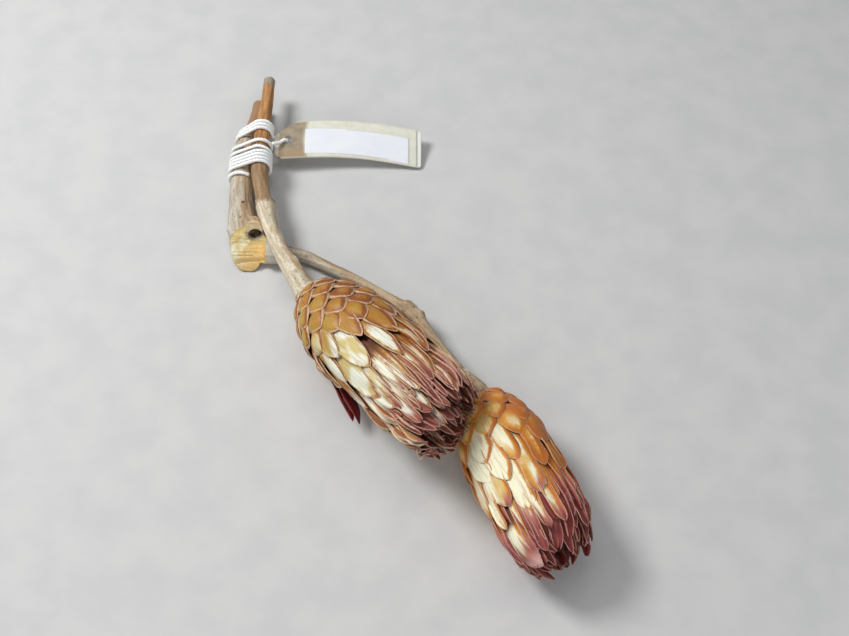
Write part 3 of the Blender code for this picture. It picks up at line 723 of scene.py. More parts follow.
@dataclass
class Head:
    """A flower head: its axis, its outline and how its bracts lie on it, all in millimetres."""

    carrier: "Head"  # the head that it leans on, if any
    base: Vector
    end: Vector
    belly: float  # greatest radius
    belly_at: float  # distance from the base to the belly
    mouth: float  # radius of the ring of tips
    taper: float  # power of the narrowing from the belly to the mouth
    scale_zone: float  # short scales cover the head as far as this
    long_zone: float  # from here on all bracts are long ones
    scale_cell: float  # area that one short scale shows
    long_cell: float  # area that one long bract shows
    tip_cell: float  # area that one of the last, narrow bracts shows
    scale_width: float
    long_width: float
    tip_width: float
    flare: float  # how far long bracts may turn out
    point: float  # length of the long bracts' tips, in widths
    trim: float  # how much shorter the bracts are on the side of trim_angle
    trim_angle: float
    doming: float  # how much sooner the outermost bracts end than the inner ones
    inner_bracts: int
    florets: int
    # On the bracts, the side below is painted redder and darker; its darker brown is partly painted shade.
    ruddy_shaded_side: float  # angle of the side that ripened redder
    seed: int
    box: tuple = ()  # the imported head's low and high corners, in metres

    @property
    def length(self):
        return (self.end - self.base).length

    def reach(self, angle, spread):
        """How far the bracts reach at an angle. Spread is 1 at the outline and 0 on the axis."""
        near = 0.5 + 0.5 * math.cos(angle - self.trim_angle)
        return self.length - (self.trim * near**1.5 + self.doming) * spread

    def share(self, tip):
        """0 where the tips of short scales lie, 1 where those of long bracts lie."""
        return smooth_share(tip, self.scale_zone, self.long_zone)

    def crowd(self, tip):
        """0 below the mouth, 1 where narrow tips crowd round it."""
        return smooth_share(tip / self.length, *CROWDED)

    def cell(self, tip):
        """The area that one bract shows."""
        long_cell = mix(self.long_cell, self.tip_cell, self.crowd(tip))
        return mix(self.scale_cell, long_cell, self.share(tip))

    def radius(self, z):
        """Outer radius of the closed bracts at a distance z from the base."""
        if z < self.belly_at:
            rise = 1 - (1 - max(z, 0) / self.belly_at) ** 2.6
            return NECK + (self.belly - NECK) * rise**0.86
        fall = min((z - self.belly_at) / (self.length - self.belly_at), 1)
        return self.belly - (self.belly - self.mouth) * fall**self.taper

    def frame(self):
        """Rotation and place of the head: local Z runs up its axis, local Y points up from the table."""
        axis = (self.end - self.base).normalized()
        above = (UP - UP.dot(axis) * axis).normalized()
        rotation = Matrix((above.cross(axis), above, axis)).transposed().to_4x4()
        return Matrix.Translation(self.base) @ rotation

    def lean_clear(self, point):
        """Moves a point softly out of the carrier's outline, so that layers keep their order."""
        inside = self.carrier.frame().inverted() @ (self.frame() @ point)
        if not -LEAN_REACH < inside.z < self.carrier.length:
            return point
        flat = Vector((inside.x, inside.y, 0))
        over = flat.length - self.carrier.radius(inside.z) - LEAN_CLEARANCE
        if over > LEAN_REACH:
            return point
        lifted = (over + math.hypot(over, LEAN_SOFTNESS)) / 2
        inside += flat.normalized() * (lifted - over)
        return self.frame().inverted() @ (self.carrier.frame() @ inside)

    def set_down(self, point):
        """Where a point lies in the bunch, in metres: clear of the carrier, on the table and in the box."""
        if self.carrier:
            point = self.lean_clear(point)
        world = self.frame() @ point
        world.z = above_table(world.z)
        inset = BOX_INSET * MM
        sides = zip(world * MM, *self.box)
        return Vector(min(max(value, low + inset), high - inset) for value, low, high in sides)


@dataclass
class Bract:
    """One bract, by the place of its tip on the head and its own sizes, in millimetres."""

    angle: float
    tip: float  # distance of the tip from the head's base
    length: float
    width: float
    slope: float  # how fast it sinks below the outline towards its root
    share: float  # 0 for a short scale, 1 for a long bract
    depth: float  # how far the tip lies inside the outline
    flare: float  # how far the tip turns out
    sway: float  # how far the tip leans to one side
    point: float  # length of its narrowing tip, in widths
    torn: float  # width of a torn tip, of the greatest
    camber: float  # how far its middle bulges out
    roll: float  # how far the long edges turn out
    ripple: float  # depth of the waves across it
    tone: float  # 0 to 1, its own tint
    number: int


# The shorter head's sizes stand here, because the longer one leans on it.
LOWER_HEAD = Head(
    carrier=None,
    base=LOWER_BASE,
    end=LOWER_END,
    belly=17.8,
    belly_at=38,
    mouth=11.5,
    taper=2.6,
    scale_zone=26,
    long_zone=42,
    scale_cell=80,
    long_cell=130,
    tip_cell=46,
    scale_width=11.5,
    long_width=10.0,
    tip_width=5.8,
    flare=-0.6,
    point=0.65,
    trim=6.0,
    trim_angle=math.radians(20),
    doming=3.0,
    inner_bracts=44,
    florets=40,
    ruddy_shaded_side=math.radians(20),
    seed=23,
)
UPPER_HEAD = Head(
    carrier=LOWER_HEAD,
    base=UPPER_BASE,
    end=UPPER_END,
    belly=19.4,
    belly_at=45,
    mouth=15.0,
    taper=1.8,
    scale_zone=40,
    long_zone=62,
    scale_cell=84,
    long_cell=165,
    tip_cell=31,
    scale_width=12.4,
    long_width=9.4,
    tip_width=4.3,
    flare=0.7,
    point=1.2,
    trim=10.0,
    trim_angle=math.radians(350),
    doming=0.0,
    inner_bracts=70,
    florets=60,
    ruddy_shaded_side=math.radians(40),
    seed=11,
)


def outer_bract(head, draw, tip, number):
    """One bract of the spiral, with its tip about a given distance from the head's base."""
    share = head.share(tip)
    crowd = head.crowd(tip)
    small = min(head.radius(tip) / head.belly + 0.12, 1)
    angle = GOLDEN_ANGLE * number + draw.uniform(-1, 1) * mix(0.03, 0.07, share)
    placed = tip + draw.uniform(-1, 1) * mix(0.3, mix(3, 6, crowd), share)
    placed = min(placed, head.reach(angle, 1) - draw.uniform(0, 7))
    long_width = mix(head.long_width, head.tip_width, crowd) * draw.uniform(0.72, 1.28)
    long_length = LONG_LENGTH * draw.uniform(0.85, 1)
    wild = mix(0.5, 1, crowd)
    return Bract(
        angle=angle,
        tip=placed,
        length=min(mix(SCALE_LENGTH, long_length, share) * small, tip - 0.3),
        width=mix(head.scale_width, long_width, share) * small,
        slope=mix(SCALE_SLOPE, LONG_SLOPE, share),
        share=share,
        depth=mix(0, draw.uniform(0, 0.6), share),
        flare=mix(0.1, draw.uniform(-1.4, 1) * head.flare * wild, share),
        sway=draw.uniform(-1, 1) * mix(0.2, 2.2, share),
        point=mix(0.56, head.point * draw.uniform(0.7, 1.3), share),
        torn=share * crowd * max(draw.uniform(-0.3, 0.5), 0),
        camber=mix(1.5, mix(1.05, 0.4, crowd), share),
        roll=mix(0.05, draw.uniform(0.2, 2.2) * wild, share),
        ripple=mix(0.05, draw.uniform(0.1, 0.9) * wild, share),
        tone=draw.random(),
        number=number,
    )


def inner_bract(head, draw, inward, number):
    """One narrow bract inside the mouth. Inward is 0 at the outline and 1 on the axis."""
    angle = GOLDEN_ANGLE * number
    return Bract(
        angle=angle,
        tip=head.reach(angle, 1 - inward) - draw.uniform(0.5, 9),
        length=LONG_LENGTH * 0.6,
        width=head.tip_width * draw.uniform(0.7, 1.2),
        slope=0.02,
        share=1,
        depth=mix(0.8, head.mouth - 2.5, inward**1.3),
        flare=draw.uniform(-2.2, 2.0),
        sway=draw.uniform(-3, 3),
        point=draw.uniform(0.8, 2.0),
        torn=max(draw.uniform(-0.3, 0.4), 0),
        camber=0.4,
        roll=draw.uniform(0.5, 2.0),
        ripple=draw.uniform(0.2, 0.7),
        tone=draw.random(),
        number=number,
    )


def bracts_of(head):
    """The bracts of a head: a spiral by the golden angle, closer on the scales than further up."""
    draw = random.Random(head.seed)
    bracts = []
    tip = FIRST_TIP
    while tip < head.length:
        bracts.append(outer_bract(head, draw, tip, len(bracts)))
        tip += head.cell(tip) / (TURN * head.radius(tip))
    for number in range(head.inner_bracts):
        inward = (number + 0.5) / head.inner_bracts
        bracts.append(inner_bract(head, draw, inward, len(bracts)))
    return bracts


def half_width(bract, s):
    """Half width of a bract from its root (s = 0) to its tip (s = 1)."""
    root = mix(0.55, 0.4, bract.share)
    body = root + (1 - root) * math.sin(min(s / 0.55, 1) * math.pi / 2)
    narrowing = min((1 - s) * bract.length / (bract.point * bract.width), 1)
    end = (1 - (1 - narrowing) ** 1.7) ** 0.75
    return body * mix(end, 1, bract.torn) * bract.width / 2


def polar(radius, angle, z):
    return Vector((radius * math.cos(angle), radius * math.sin(angle), z))


def blade_point(head, bract, s, across):
    """A point of a bract's outer face in the head's frame. s is 0 to 1, across is -1 to 1."""
    own = bract.number * SHAPE_PACE
    thin = mix(0.5, 1, bract.share)
    half = half_width(bract, s) * (1 + EDGE_WAVER * thin * s * s * uneven(s * 7, across * 0.7 + 5, own))
    curl = bract.roll * min(s * 1.3, 1) ** 2 * abs(across) ** 4
    below = bract.length * (1 - s)
    ragged = (0.8 + 9 * bract.torn) * bract.share * (0.5 + 0.5 * uneven(across * 2.4, own, 0))
    z = bract.tip - below - ragged * s**8
    sunk = bract.slope * below + ROOT_DIVE * max(1 - s / ROOT_SHARE, 0)
    lift = bract.camber * (1 - across * across) * math.sin(math.pi * max(s - 0.25, 0) / 0.75)
    lift += curl * half * 0.5
    lift += bract.ripple * s**3 * math.sin(across * 3.2 + s * 7 + own)
    lift += FACE_UNEVEN * thin * s * uneven(across * 1.6, s * 4, own + 40)
    lift *= 1 - s**12
    radius = head.radius(z) - bract.depth - sunk + bract.flare * s**4 + lift
    sideways = across * half * (1 - 0.3 * curl) + bract.sway * s**4
    return polar(radius, bract.angle + sideways / max(radius, 3.5), z)


def blades(head, bracts, name):
    """All bracts of a head: each a grid shaped into its outer face, and all thickened inward at once."""
    body = bmesh.new()
    blade = body.verts.layers.float_vector.new("blade")
    growth = body.verts.layers.float_vector.new("growth")
    grain = body.verts.layers.float_vector.new("grain")
    reach = body.verts.layers.float.new("reach")
    for bract in bracts:
        rows = LONG_BLADE_ROWS if bract.share > 0.3 else SCALE_BLADE_ROWS
        grid = bmesh.ops.create_grid(body, x_segments=BLADE_COLUMNS, y_segments=rows, size=1)
        # How near a bract lies to the ruddy side, where it is painted redder and partly darker as shade.
        ruddy_shaded_share = 0.5 + 0.5 * math.cos(bract.angle - head.ruddy_shaded_side)
        for vertex in grid["verts"]:
            across, up, _ = vertex.co
            s = 1 - ((1 - up) / 2) ** ROW_CROWDING
            point = blade_point(head, bract, s, across)
            vertex[blade] = (across, s, bract.share)
            vertex[growth] = (bract.tone, point.z / head.length, ruddy_shaded_share)
            half = half_width(bract, s)
            vertex[grain] = (across * half, s * bract.length, bract.number * GRAIN_PACE)
            vertex[reach] = half
            vertex.co = head.set_down(point)
    bmesh.ops.remove_doubles(body, verts=body.verts, dist=WELD * MM)
    made = helper(mesh_from(body, name))
    wall = made.modifiers.new("thickness", "SOLIDIFY")
    wall.thickness = BLADE_THICKNESS * MM
    wall.offset = -1
    return applied(made)


HAIR_RADIUS = 0.07
HAIR_SIDES = 3
HAIR_STEP = 0.32
HAIR_LENGTH = (0.4, 0.9)
# Hairs stand on a bract's edges from this share of its length to its tip.
FRINGE_START = 0.45
# A loose fibre curls this many times and thins from root to tip. Fibres and florets are five-sided threads.
FIBRE_TURNS = 1.3
FIBRE_STEPS = 14
FIBRE_RADII = (0.24, 0.1)
THREAD_SIDES = 5


def add_hair(body, layer, root, tip, growth):
    """A hair as a slim pyramid from its root to its tip, in metres."""
    along = (tip - root).normalized()
    side = along.orthogonal().normalized() * HAIR_RADIUS * MM
    over = along.cross(side)
    corners = []
    for number in range(HAIR_SIDES):
        corners.append(body.verts.new(root + around(TURN * number / HAIR_SIDES, side, over)))
    end = body.verts.new(tip)
    body.faces.new(reversed(corners))
    for number in range(HAIR_SIDES):
        body.faces.new((corners[number], corners[(number + 1) % HAIR_SIDES], end))
    for vertex in (*corners, end):
        vertex[layer] = growth


def add_fibres(body, layer, head, fibres):
    """Loose dry fibres that stand off a head."""
    first = len(body.verts)
    for number, (degrees, z, length, out) in enumerate(fibres):
        angle = math.radians(degrees)
        root = head.radius(z) - 0.5
        line = []
        for step in range(FIBRE_STEPS + 1):
            share = step / FIBRE_STEPS
            curl = TURN * FIBRE_TURNS * share
            radius = root + out * math.sin(curl * 0.5) + 0.6 * share * math.sin(curl * 2 + number)
            bent = angle + (out * (1 - math.cos(curl)) * 0.5) / root
            point = polar(radius, bent, z + length * share - out * share**3)
            line.append((head.set_down(point) / MM, mix(*FIBRE_RADII, share)))
        add_tube(body, line, THREAD_SIDES)
    body.verts.ensure_lookup_table()
    for vertex in body.verts[first:]:
        vertex[layer] = (0.4, 0.6, 1)


def fringe(head, bracts, fibres, name):
    """The hairs along the bracts' free edges, and the loose fibres."""
    draw = random.Random(head.seed + 1)
    body = bmesh.new()
    layer = body.verts.layers.float_vector.new("growth")
    for bract in bracts:
        count = int(bract.length * (1 - FRINGE_START) / HAIR_STEP)
        for side in (-1, 1):
            for number in range(count):
                s = mix(FRINGE_START, 1, ((number + draw.random()) / count) ** 0.8)
                edge = blade_point(head, bract, s, side)
                inner = blade_point(head, bract, s - 0.03, side * 0.9)
                outward = (edge - inner).normalized()
                jitter = Vector((draw.uniform(-1, 1), draw.uniform(-1, 1), draw.uniform(-0.4, 1)))
                reach = draw.uniform(*HAIR_LENGTH) * mix(1, 0.8, bract.share)
                root = head.set_down(inner.lerp(edge, 0.9))
                tip = head.set_down(edge + (outward + jitter * 0.4).normalized() * reach)
                add_hair(body, layer, root, tip, (bract.tone, edge.z / head.length, bract.share))
    add_fibres(body, layer, head, fibres)
    return mesh_from(body, name)


# The core reaches this share of the way up the head. It lies deeper below the bracts past its shoulder, and
# thins further towards its top.
CORE_REACH = 0.8
CORE_SHOULDER = 6
CORE_DEPTH = 3.4
CORE_THINNING = 2.5
CORE_STEPS = 25
CORE_SIDES = 32
FLORET_STEPS = 4
FLORET_RADII = (0.55, 0.18)


def core(head, name):
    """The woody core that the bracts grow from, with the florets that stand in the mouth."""
    draw = random.Random(head.seed + 2)
    body = bmesh.new()
    layer = body.verts.layers.float_vector.new("growth")
    reach = head.length * CORE_REACH
    placed = head.frame()
    stations = []
    for number in range(CORE_STEPS + 1):
        z = reach * number / CORE_STEPS
        thinner = CORE_THINNING * smooth_share(z, head.scale_zone, reach)
        radius = head.radius(z) - CORE_DEPTH * min(z / CORE_SHOULDER, 1) - thinner
        stations.append((placed @ Vector((0, 0, z)), max(radius, 0.5)))
    stations.append((placed @ Vector((0, 0, reach + 4)), stations[-1][1] * 0.6))
    add_tube(body, stations, CORE_SIDES)
    for number in range(head.florets):
        angle = GOLDEN_ANGLE * number
        spread = math.sqrt((number + 0.5) / head.florets)
        top = head.length - draw.uniform(3, 12) - 3 * spread
        inner = (head.mouth - 4.0) * spread * 0.8
        outer = (head.mouth - 3.0) * spread + draw.uniform(-0.8, 0.8)
        line = []
        for step in range(FLORET_STEPS + 1):
            share = step / FLORET_STEPS
            bend = angle + 0.12 * share * draw.uniform(-1, 1)
            point = polar(mix(inner, outer, share * share), bend, mix(reach - 2, top, share))
            line.append((head.set_down(point) / MM, mix(*FLORET_RADII, share)))
        add_tube(body, line, THREAD_SIDES)
    for vertex in body.verts:
        vertex[layer] = (0.5, (placed.inverted() @ (vertex.co / MM)).z / head.length, 1)
    return mesh_from(body, name)


def bract_finish(
    name, olive, golden, russet, cream, straw, mauve, wine, edge, rim_width, pale_from, ripe_from, ruddy_and_shade
):
    """Leathery golden scales, papery cream blades that turn mauve and wine, pale worn edges, and painted
    light and shade.
    """
    material, wire = start_finish(name)
    across, s, share = wire.attribute("blade").parts()
    tone, height, ruddy_shaded_share = wire.attribute("growth").parts()
    grain = wire.attribute("grain")
    half = wire.attribute("reach", "Fac")
    veins = grain.stretched(1, 0.05, 1).noise(1.9, 2.0)
    streaks = grain.stretched(1, 0.1, 1).noise(0.6, 2.0)
    patches = grain.stretched(1, 0.4, 1).noise(0.22, 1.0)
    mottle = grain.noise(0.6, 3.0, 0.5)
    own = tone.greater(0.0) - 0.5
    # Leathery scales below, and paper above. Each scale is painted lighter olive towards one flank, partly a
    # painted highlight.
    ruddier_and_shaded = ruddy_shaded_share.between(0.5, 1.0) * ruddy_and_shade
    # The far side of each head is browned, partly as painted shade.
    far_side_browned_and_shaded = ruddy_shaded_share.between(0.2, 0.02)
    scale = (mottle * 0.5 + own * 0.5 + across * 0.2 + 0.25).between(0.2, 0.8).mix(golden, olive)
    paper = (patches + own * 0.5 + ruddy_and_shade * 0.4).between(0.80, 1.02).mix(cream, straw)
    papery = height + own * 0.2 + (patches - 0.5) * 0.25 - ruddier_and_shaded * 0.2 - far_side_browned_and_shaded * 0.15
    papery = papery.between(pale_from, pale_from + 0.1)
    body = papery.mix(scale, paper)
    # Golden and russet browning, with painted shade: darker towards the rims and covered parts, more on one
    # flank of each bract, and on the ruddy and far sides of the head.
    rim = (1 - abs(across)) * half * (papery * (2.4 - 2.7 * ruddy_and_shade) + 0.8)
    browning_and_shade = rim.between(3.6, 0.7) * (0.72 - across * 0.5) + (mottle - 0.5) * 0.5 + (patches - 0.5) * 0.7
    browning_and_shade = browning_and_shade + own * 0.4 + ruddier_and_shaded + s.between(0.7, 1.0) * 0.2 + s.between(0.66, 0.5) * 0.25
    browning_and_shade = browning_and_shade + far_side_browned_and_shaded * 0.35 - papery * (0.5 - 0.4 * ruddy_and_shade)
    body = browning_and_shade.between(0.2, 0.62).mix(body, golden)
    body = browning_and_shade.between(0.5, 1.0).mix(body, russet)
    body = height.between(0.07, 0.03).mix(body, (0.34, 0.26, 0.14))
    # Ripe mauve and wine tips, and painted shade: the covered roots and the gaps among the crowded tips are
    # darkened.
    ripe = height * 1.5 + s * 0.2 + ruddier_and_shaded * 0.15 + (streaks - 0.5) * 0.45 + own * 0.34 - ripe_from
    body = (ripe.between(0.0, 0.15) * share).mix(body, mauve)
    body = (ripe.between(0.11, 0.3) * share).mix(body, wine)
    body = s.between(0.4, 0.25).mix(body, (0.10, 0.03, 0.012))
    body = (s.between(0.86, 0.6) * height.between(0.8, 0.92) * 0.5).mix(body, (0.10, 0.02, 0.015))
    body = (veins.between(0.5, 0.3) * 0.4).mix(body, russet)
    # Worn pale edges, and the tones of the bracts that catch the eye.
    pale = ripe.between(0.0, 0.3).mix(edge, (0.66, 0.36, 0.27))
    width = (1 - papery * 0.6) * rim_width * (mottle + 0.5)
    worn = rim.between(width, width * 0.6) * s.between(0.4, 0.5) * (mottle * 0.6 + 0.4)
    body = worn.mix(body, pale)
    body = (tone.between(-0.2, -0.6) * s.between(0.72, 0.92)).mix(body, (0.64, 0.36, 0.32))
    sprung = streaks.between(0.4, 0.6).mix((0.07, 0.003, 0.004), (0.22, 0.006, 0.01))
    body = tone.between(1.2, 1.6).mix(body, sprung)
    relief = veins * 0.55 + streaks * 0.25 + mottle * 0.2
    return end_finish(material, body, 0.58 - (1 - share) * 0.16 + veins * 0.1, relief, 0.3)


def fringe_finish(name, pale, ripe):
    material, wire = start_finish(name)
    tone, height, share = wire.attribute("growth").parts()
    colour = (height * share + (tone - 0.5) * 0.2).between(0.66, 0.98).mix(pale, ripe)
    return end_finish(material, colour, 0.7, tone, 0.01)


def core_finish(name):
    """Dark florets and core: wine-black, with lighter rusty tops, partly a painted highlight where the light
    reaches them.
    """
    material, wire = start_finish(name)
    _, height, _ = wire.attribute("growth").parts()
    grain = wire.coordinates()
    mottle = grain.noise(900.0, 2.0)
    rusty_and_lit_tops = (height + (mottle - 0.5) * 0.1).between(0.84, 0.98)
    colour = rusty_and_lit_tops.mix((0.035, 0.01, 0.008), (0.22, 0.08, 0.05))
    return end_finish(material, colour, 0.8, mottle, 0.2)


def dress_head(title, head, node, bracts, fibres, finish):
    """Adds a head's bracts, fringe and core to the bunch."""
    head.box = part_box(node)
    slot = title + "_bracts"
    add_piece(slot, blades(head, bracts, slot), finish, slot, node)
    name = title + "_fringe"
    pale_hair = fringe_finish(name, (0.76, 0.62, 0.48), (0.52, 0.30, 0.27))
    add_piece(name, fringe(head, bracts, fibres, name), pale_hair, slot)
    name = title + "_core"
    add_piece(name, core(head, name), core_finish(name), slot)


def apart(head, bract, angle, tip):
    """How far a bract's tip is from a place on its head, near enough to compare."""
    return abs(math.sin((bract.angle - angle) / 2)) * head.belly + abs(bract.tip - tip) / 2


def with_odd_ones(head, bracts, odd_ones):
    """The bracts, with the one nearest to each of some places moved there and given another shape."""
    kept = list(bracts)
    changed = []
    for degrees, tip, changes in odd_ones:
        angle = math.radians(degrees)
        nearest = min(kept, key=lambda bract: apart(head, bract, angle, tip))
        kept.remove(nearest)
        changed.append(replace(nearest, angle=angle, tip=tip, share=1, torn=0, depth=0, **changes))
    return kept + changed


# Tones outside 0 to 1 stand for a bract that is dark wine red all over, or pale.
WINE_TONE = 2.0
PALE_TONE = -0.6
SPRUNG_BRACT = {"width": 8.0, "flare": 8.0, "roll": 0.6, "point": 1.3, "tone": WINE_TONE}
SPLIT_BRACT = {"width": 3.6, "flare": 1.6, "roll": 1.6, "point": 2.4, "tone": 0.9, "camber": 1.6}
OUTER_BRACT = {"width": 3.6, "flare": 0.6, "roll": 1.2, "point": 2.0, "tone": 0.8}
# Loose fibres: angle, distance from the base, length and how far each curls out.
LOOSE_FIBRES = (
    (14, 84, 10, 2.0),
    (2, 87, 7, 2.4),
    (30, 78, 9, 1.3),
    (205, 96, 9, 1.8),
    (190, 99, 6, 1.5),
    (60, 12, 5, 1.4),
)
# The bracts that catch the eye: angle in degrees, distance of the tip from the base, and shape.
upper_bracts = with_odd_ones(
    UPPER_HEAD,
    bracts_of(UPPER_HEAD),
    (
        (221, 57, SPRUNG_BRACT),
        (227, 59, SPRUNG_BRACT),
        (176, 45, SPLIT_BRACT),
        (186, 43, SPLIT_BRACT),
        (194, UPPER_HEAD.length + 3.5, OUTER_BRACT),
        (204, UPPER_HEAD.length + 2.0, OUTER_BRACT),
    ),
)
dress_head(
    "upper",
    UPPER_HEAD,
    "flower_head_upper",
    upper_bracts,
    LOOSE_FIBRES,
    bract_finish(
        "upper_bracts",
        olive=(0.48, 0.35, 0.06),
        golden=(0.43, 0.19, 0.022),
        russet=(0.25, 0.072, 0.012),
        cream=(0.80, 0.80, 0.66),
        straw=(0.62, 0.50, 0.20),
        mauve=(0.34, 0.11, 0.065),
        wine=(0.19, 0.04, 0.03),
        edge=(0.74, 0.52, 0.32),
        rim_width=1.05,
        pale_from=0.35,
        ripe_from=1.34,
        ruddy_and_shade=0.6,
    ),
)

# Lower flower head: the shorter, rounder head at the end of the branch's side shoot, made as the upper one
# is. Its scales are paler gold, its middle is nearly white, and the side away from the upper head ripened
# brown and pink; its darker brown there is partly painted shade.
BROAD_BRACT = {"width": 10.0, "flare": -0.9, "roll": 0.3, "point": 0.9, "tone": PALE_TONE, "camber": 1.5}
lower_bracts = with_odd_ones(LOWER_HEAD, bracts_of(LOWER_HEAD), ((152, 82, BROAD_BRACT),))
dress_head(
    "lower",
    LOWER_HEAD,
    "flower_head_lower",
    lower_bracts,
    (),
    bract_finish(
        "lower_bracts",
        olive=(0.74, 0.52, 0.15),
        golden=(0.66, 0.30, 0.04),
        russet=(0.50, 0.145, 0.018),
        cream=(0.88, 0.86, 0.62),
        straw=(0.70, 0.50, 0.18),
        mauve=(0.42, 0.13, 0.10),
        wine=(0.20, 0.025, 0.03),
        edge=(0.66, 0.40, 0.20),
        rim_width=0.28,
        pale_from=0.18,
        ripe_from=1.15,
        ruddy_and_shade=0.85,
    ),
)

# Binding string: one length of white three-ply cotton, wound tight round both stems, led out through the
# tag's hole and back, and wound on. It starts tucked in below its first turn.
STRING_RADIUS = 0.85
STRING_GAP = 0.2
# Stations of the winding: y, and the number of turns made by then.
TUCKED_START = (70.2, 0.14)
TURNS_BELOW_TAG = (
    (71.7, 0.5),
    (74.1, 1),
    (76.05, 2),
    (78.0, 3),
    (79.95, 4),
    (81.9, 5),
    (86.6, 6),
    (88.4, 7),
)
TURNS_ABOVE_TAG = ((94.1, 0), (96.05, 1), (98.0, 2), (98.8, 2.42))
POINTS_PER_TURN = 44
LEAVING_STEM = place(-68.5, 89.0, 12.4)
COMING_BACK = place(-68.9, 93.7, 8.7)
# Where the string passes the tag's tied end, out and back: along it, across it and how far clear of it.
PASSING_OUT = (0.9, -2.4, 1.0)
PASSING_BACK = (-0.2, 0.6, 0.1)
HOLE_DRIFT = 0.4
HOLE_GAP = 0.15
BEND_STEPS = 8
TAG_LENGTH = 66.4
TAG_LEFT = -67.9
TAG_MIDDLE_Y = 92.6
TAG_BOW_Y = 2.2
TAG_HEIGHT = 9.7
TAG_DROP = 5.7
TAG_BOW_Z = 1.6
TAG_TILT_LEFT = math.radians(14)
TAG_TILT_RIGHT = math.radians(20)
TAG_EYE_RADIUS = 1.8
TAG_HOLE_INSET = 5.0
TAG_THICKNESS = 0.8
PLIES = 3
PLY_RADIUS = 0.52
PLY_OFFSET = 0.33
PLY_PITCH = 4.6
PLY_WANDER = 0.06
PLY_SIDES = 8
STRING_STEP = 0.6


def tag_point(u, v, w):
    """A point of the curled tag: u millimetres along it, v across it and w out of it."""
    share = u / TAG_LENGTH
    tilt = mix(TAG_TILT_LEFT, TAG_TILT_RIGHT, share)
    bow = math.sin(math.pi * min(max(share, 0), 1))
    middle = place(
        TAG_LEFT + u,
        TAG_MIDDLE_Y + TAG_BOW_Y * bow,
        TAG_HEIGHT - TAG_DROP * share + TAG_BOW_Z * bow,
    )
    across = Vector((0, math.cos(tilt), math.sin(tilt)))
    outward = Vector((0, -math.sin(tilt), math.cos(tilt)))
    return middle + across * v + outward * w


def station_at(route, y):
    """Middle and radius of a stem where it passes a given y."""
    for (first, r1), (second, r2) in zip(route, route[1:]):
        if second.y <= y <= first.y:
            share = (first.y - y) / (first.y - second.y)
            return first.lerp(second, share), mix(r1, r2, share)
    return route[-1]


def wound_point(stems, y, turns):
    """A point of the string where it lies round the stems: the outermost one in a direction."""
    outward = Vector((math.cos(turns * TURN), 0, math.sin(turns * TURN)))
    reach = []
    for route in stems:
        middle, radius = station_at(route, y - MIDDLE_Y)
        reach.append(middle + outward * (radius + STRING_GAP + STRING_RADIUS))
    return max(reach, key=lambda point: point.dot(outward))


def wound(stems, stations):
    """Points of the string round the stems, through stations of y and number of turns."""
    points = []
    for (first_y, first), (second_y, second) in zip(stations, stations[1:]):
        pieces = max(round((second - first) * POINTS_PER_TURN), 1)
        for piece in range(pieces):
            share = piece / pieces
            points.append(wound_point(stems, mix(first_y, second_y, share), mix(first, second, share)))
    points.append(wound_point(stems, *stations[-1]))
    return points


def through_hole():
    """The strand from the stem over the tag's end, down through its hole and back below it."""
    rim = TAG_HOLE_INSET - TAG_EYE_RADIUS
    lift = TAG_THICKNESS / 2 + HOLE_GAP + STRING_RADIUS
    u, v, clear = PASSING_OUT
    points = [LEAVING_STEM, tag_point(u, v, lift + clear)]
    for step in range(BEND_STEPS + 1):
        share = step / BEND_STEPS
        angle = math.pi * share
        drift = mix(-HOLE_DRIFT, HOLE_DRIFT, share)
        points.append(tag_point(rim + lift * math.sin(angle), drift, lift * math.cos(angle)))
    u, v, clear = PASSING_BACK
    return points + [tag_point(u, v, -lift - clear), COMING_BACK]


def string_line():
    upper, branch = (smooth_route(laid(route), STEM_STEP) for route in (UPPER_STEM_ROUTE, BRANCH_ROUTE))
    points = wound([branch], (TUCKED_START, TURNS_BELOW_TAG[0]))[:-1]
    points += wound([upper, branch], TURNS_BELOW_TAG)
    points += through_hole()
    points += wound([upper, branch], TURNS_ABOVE_TAG)
    return smooth_route([(*point, STRING_RADIUS) for point in points], STRING_STEP)


def plies(line, name):
    """The plies of the string, each a tube that turns round the string's line."""
    body = bmesh.new()
    for ply in range(PLIES):
        stations = []
        for point, along, (_, side, over) in measured(line):
            angle = TURN * (along / PLY_PITCH + ply / PLIES)
            wander = PLY_WANDER * uneven(along * 0.8, ply * 9.0, 0)
            offset = around(angle, side, over) * (PLY_OFFSET + wander)
            stations.append((point + offset, PLY_RADIUS + wander))
        add_tube(body, stations, PLY_SIDES)
    return mesh_from(body, name)


def cotton():
    material, wire = start_finish("cotton_string")
    coordinates = wire.coordinates()
    dirt = coordinates.noise(160.0, 3.0, 0.6)
    fibres = coordinates.noise(4200.0, 3.0, 0.7)
    colour = dirt.between(0.5, 0.8).mix((0.96, 0.97, 0.96), (0.90, 0.87, 0.79))
    colour = (fibres.between(0.5, 0.3) * 0.2).mix(colour, (0.80, 0.79, 0.75))
    return end_finish(material, colour, 0.9, fibres, 0.15, {"Sheen Weight": 0.3})


string_mesh = plies(string_line(), "cotton_string")
add_piece("cotton_string", string_mesh, cotton(), "cotton_string", "binding_string")

# Tag: a long strip of cream card with two clipped corners, and a punched hole at its tied end. It has curled
# a little, its tied end is worn brown, and a blank white paper label is stuck to the rest of its face.
TAG_WIDTH = 18.6
TAG_TIED_END = -1.1
TAG_UPPER_CLIP = (8.0, 6.5)
TAG_LOWER_CLIP = (2.5, 2.5)
TAG_CORNER = 1.6
CORNER_STEPS = 6
EYE_SIDES = 24
CARD_THICKNESS = 0.6
# A flat card's points are welded and its flat faces joined before it is cut into strips this wide.
CARD_WELD = 0.001
CARD_FLATNESS = 0.01
CARD_STEP = 1.2
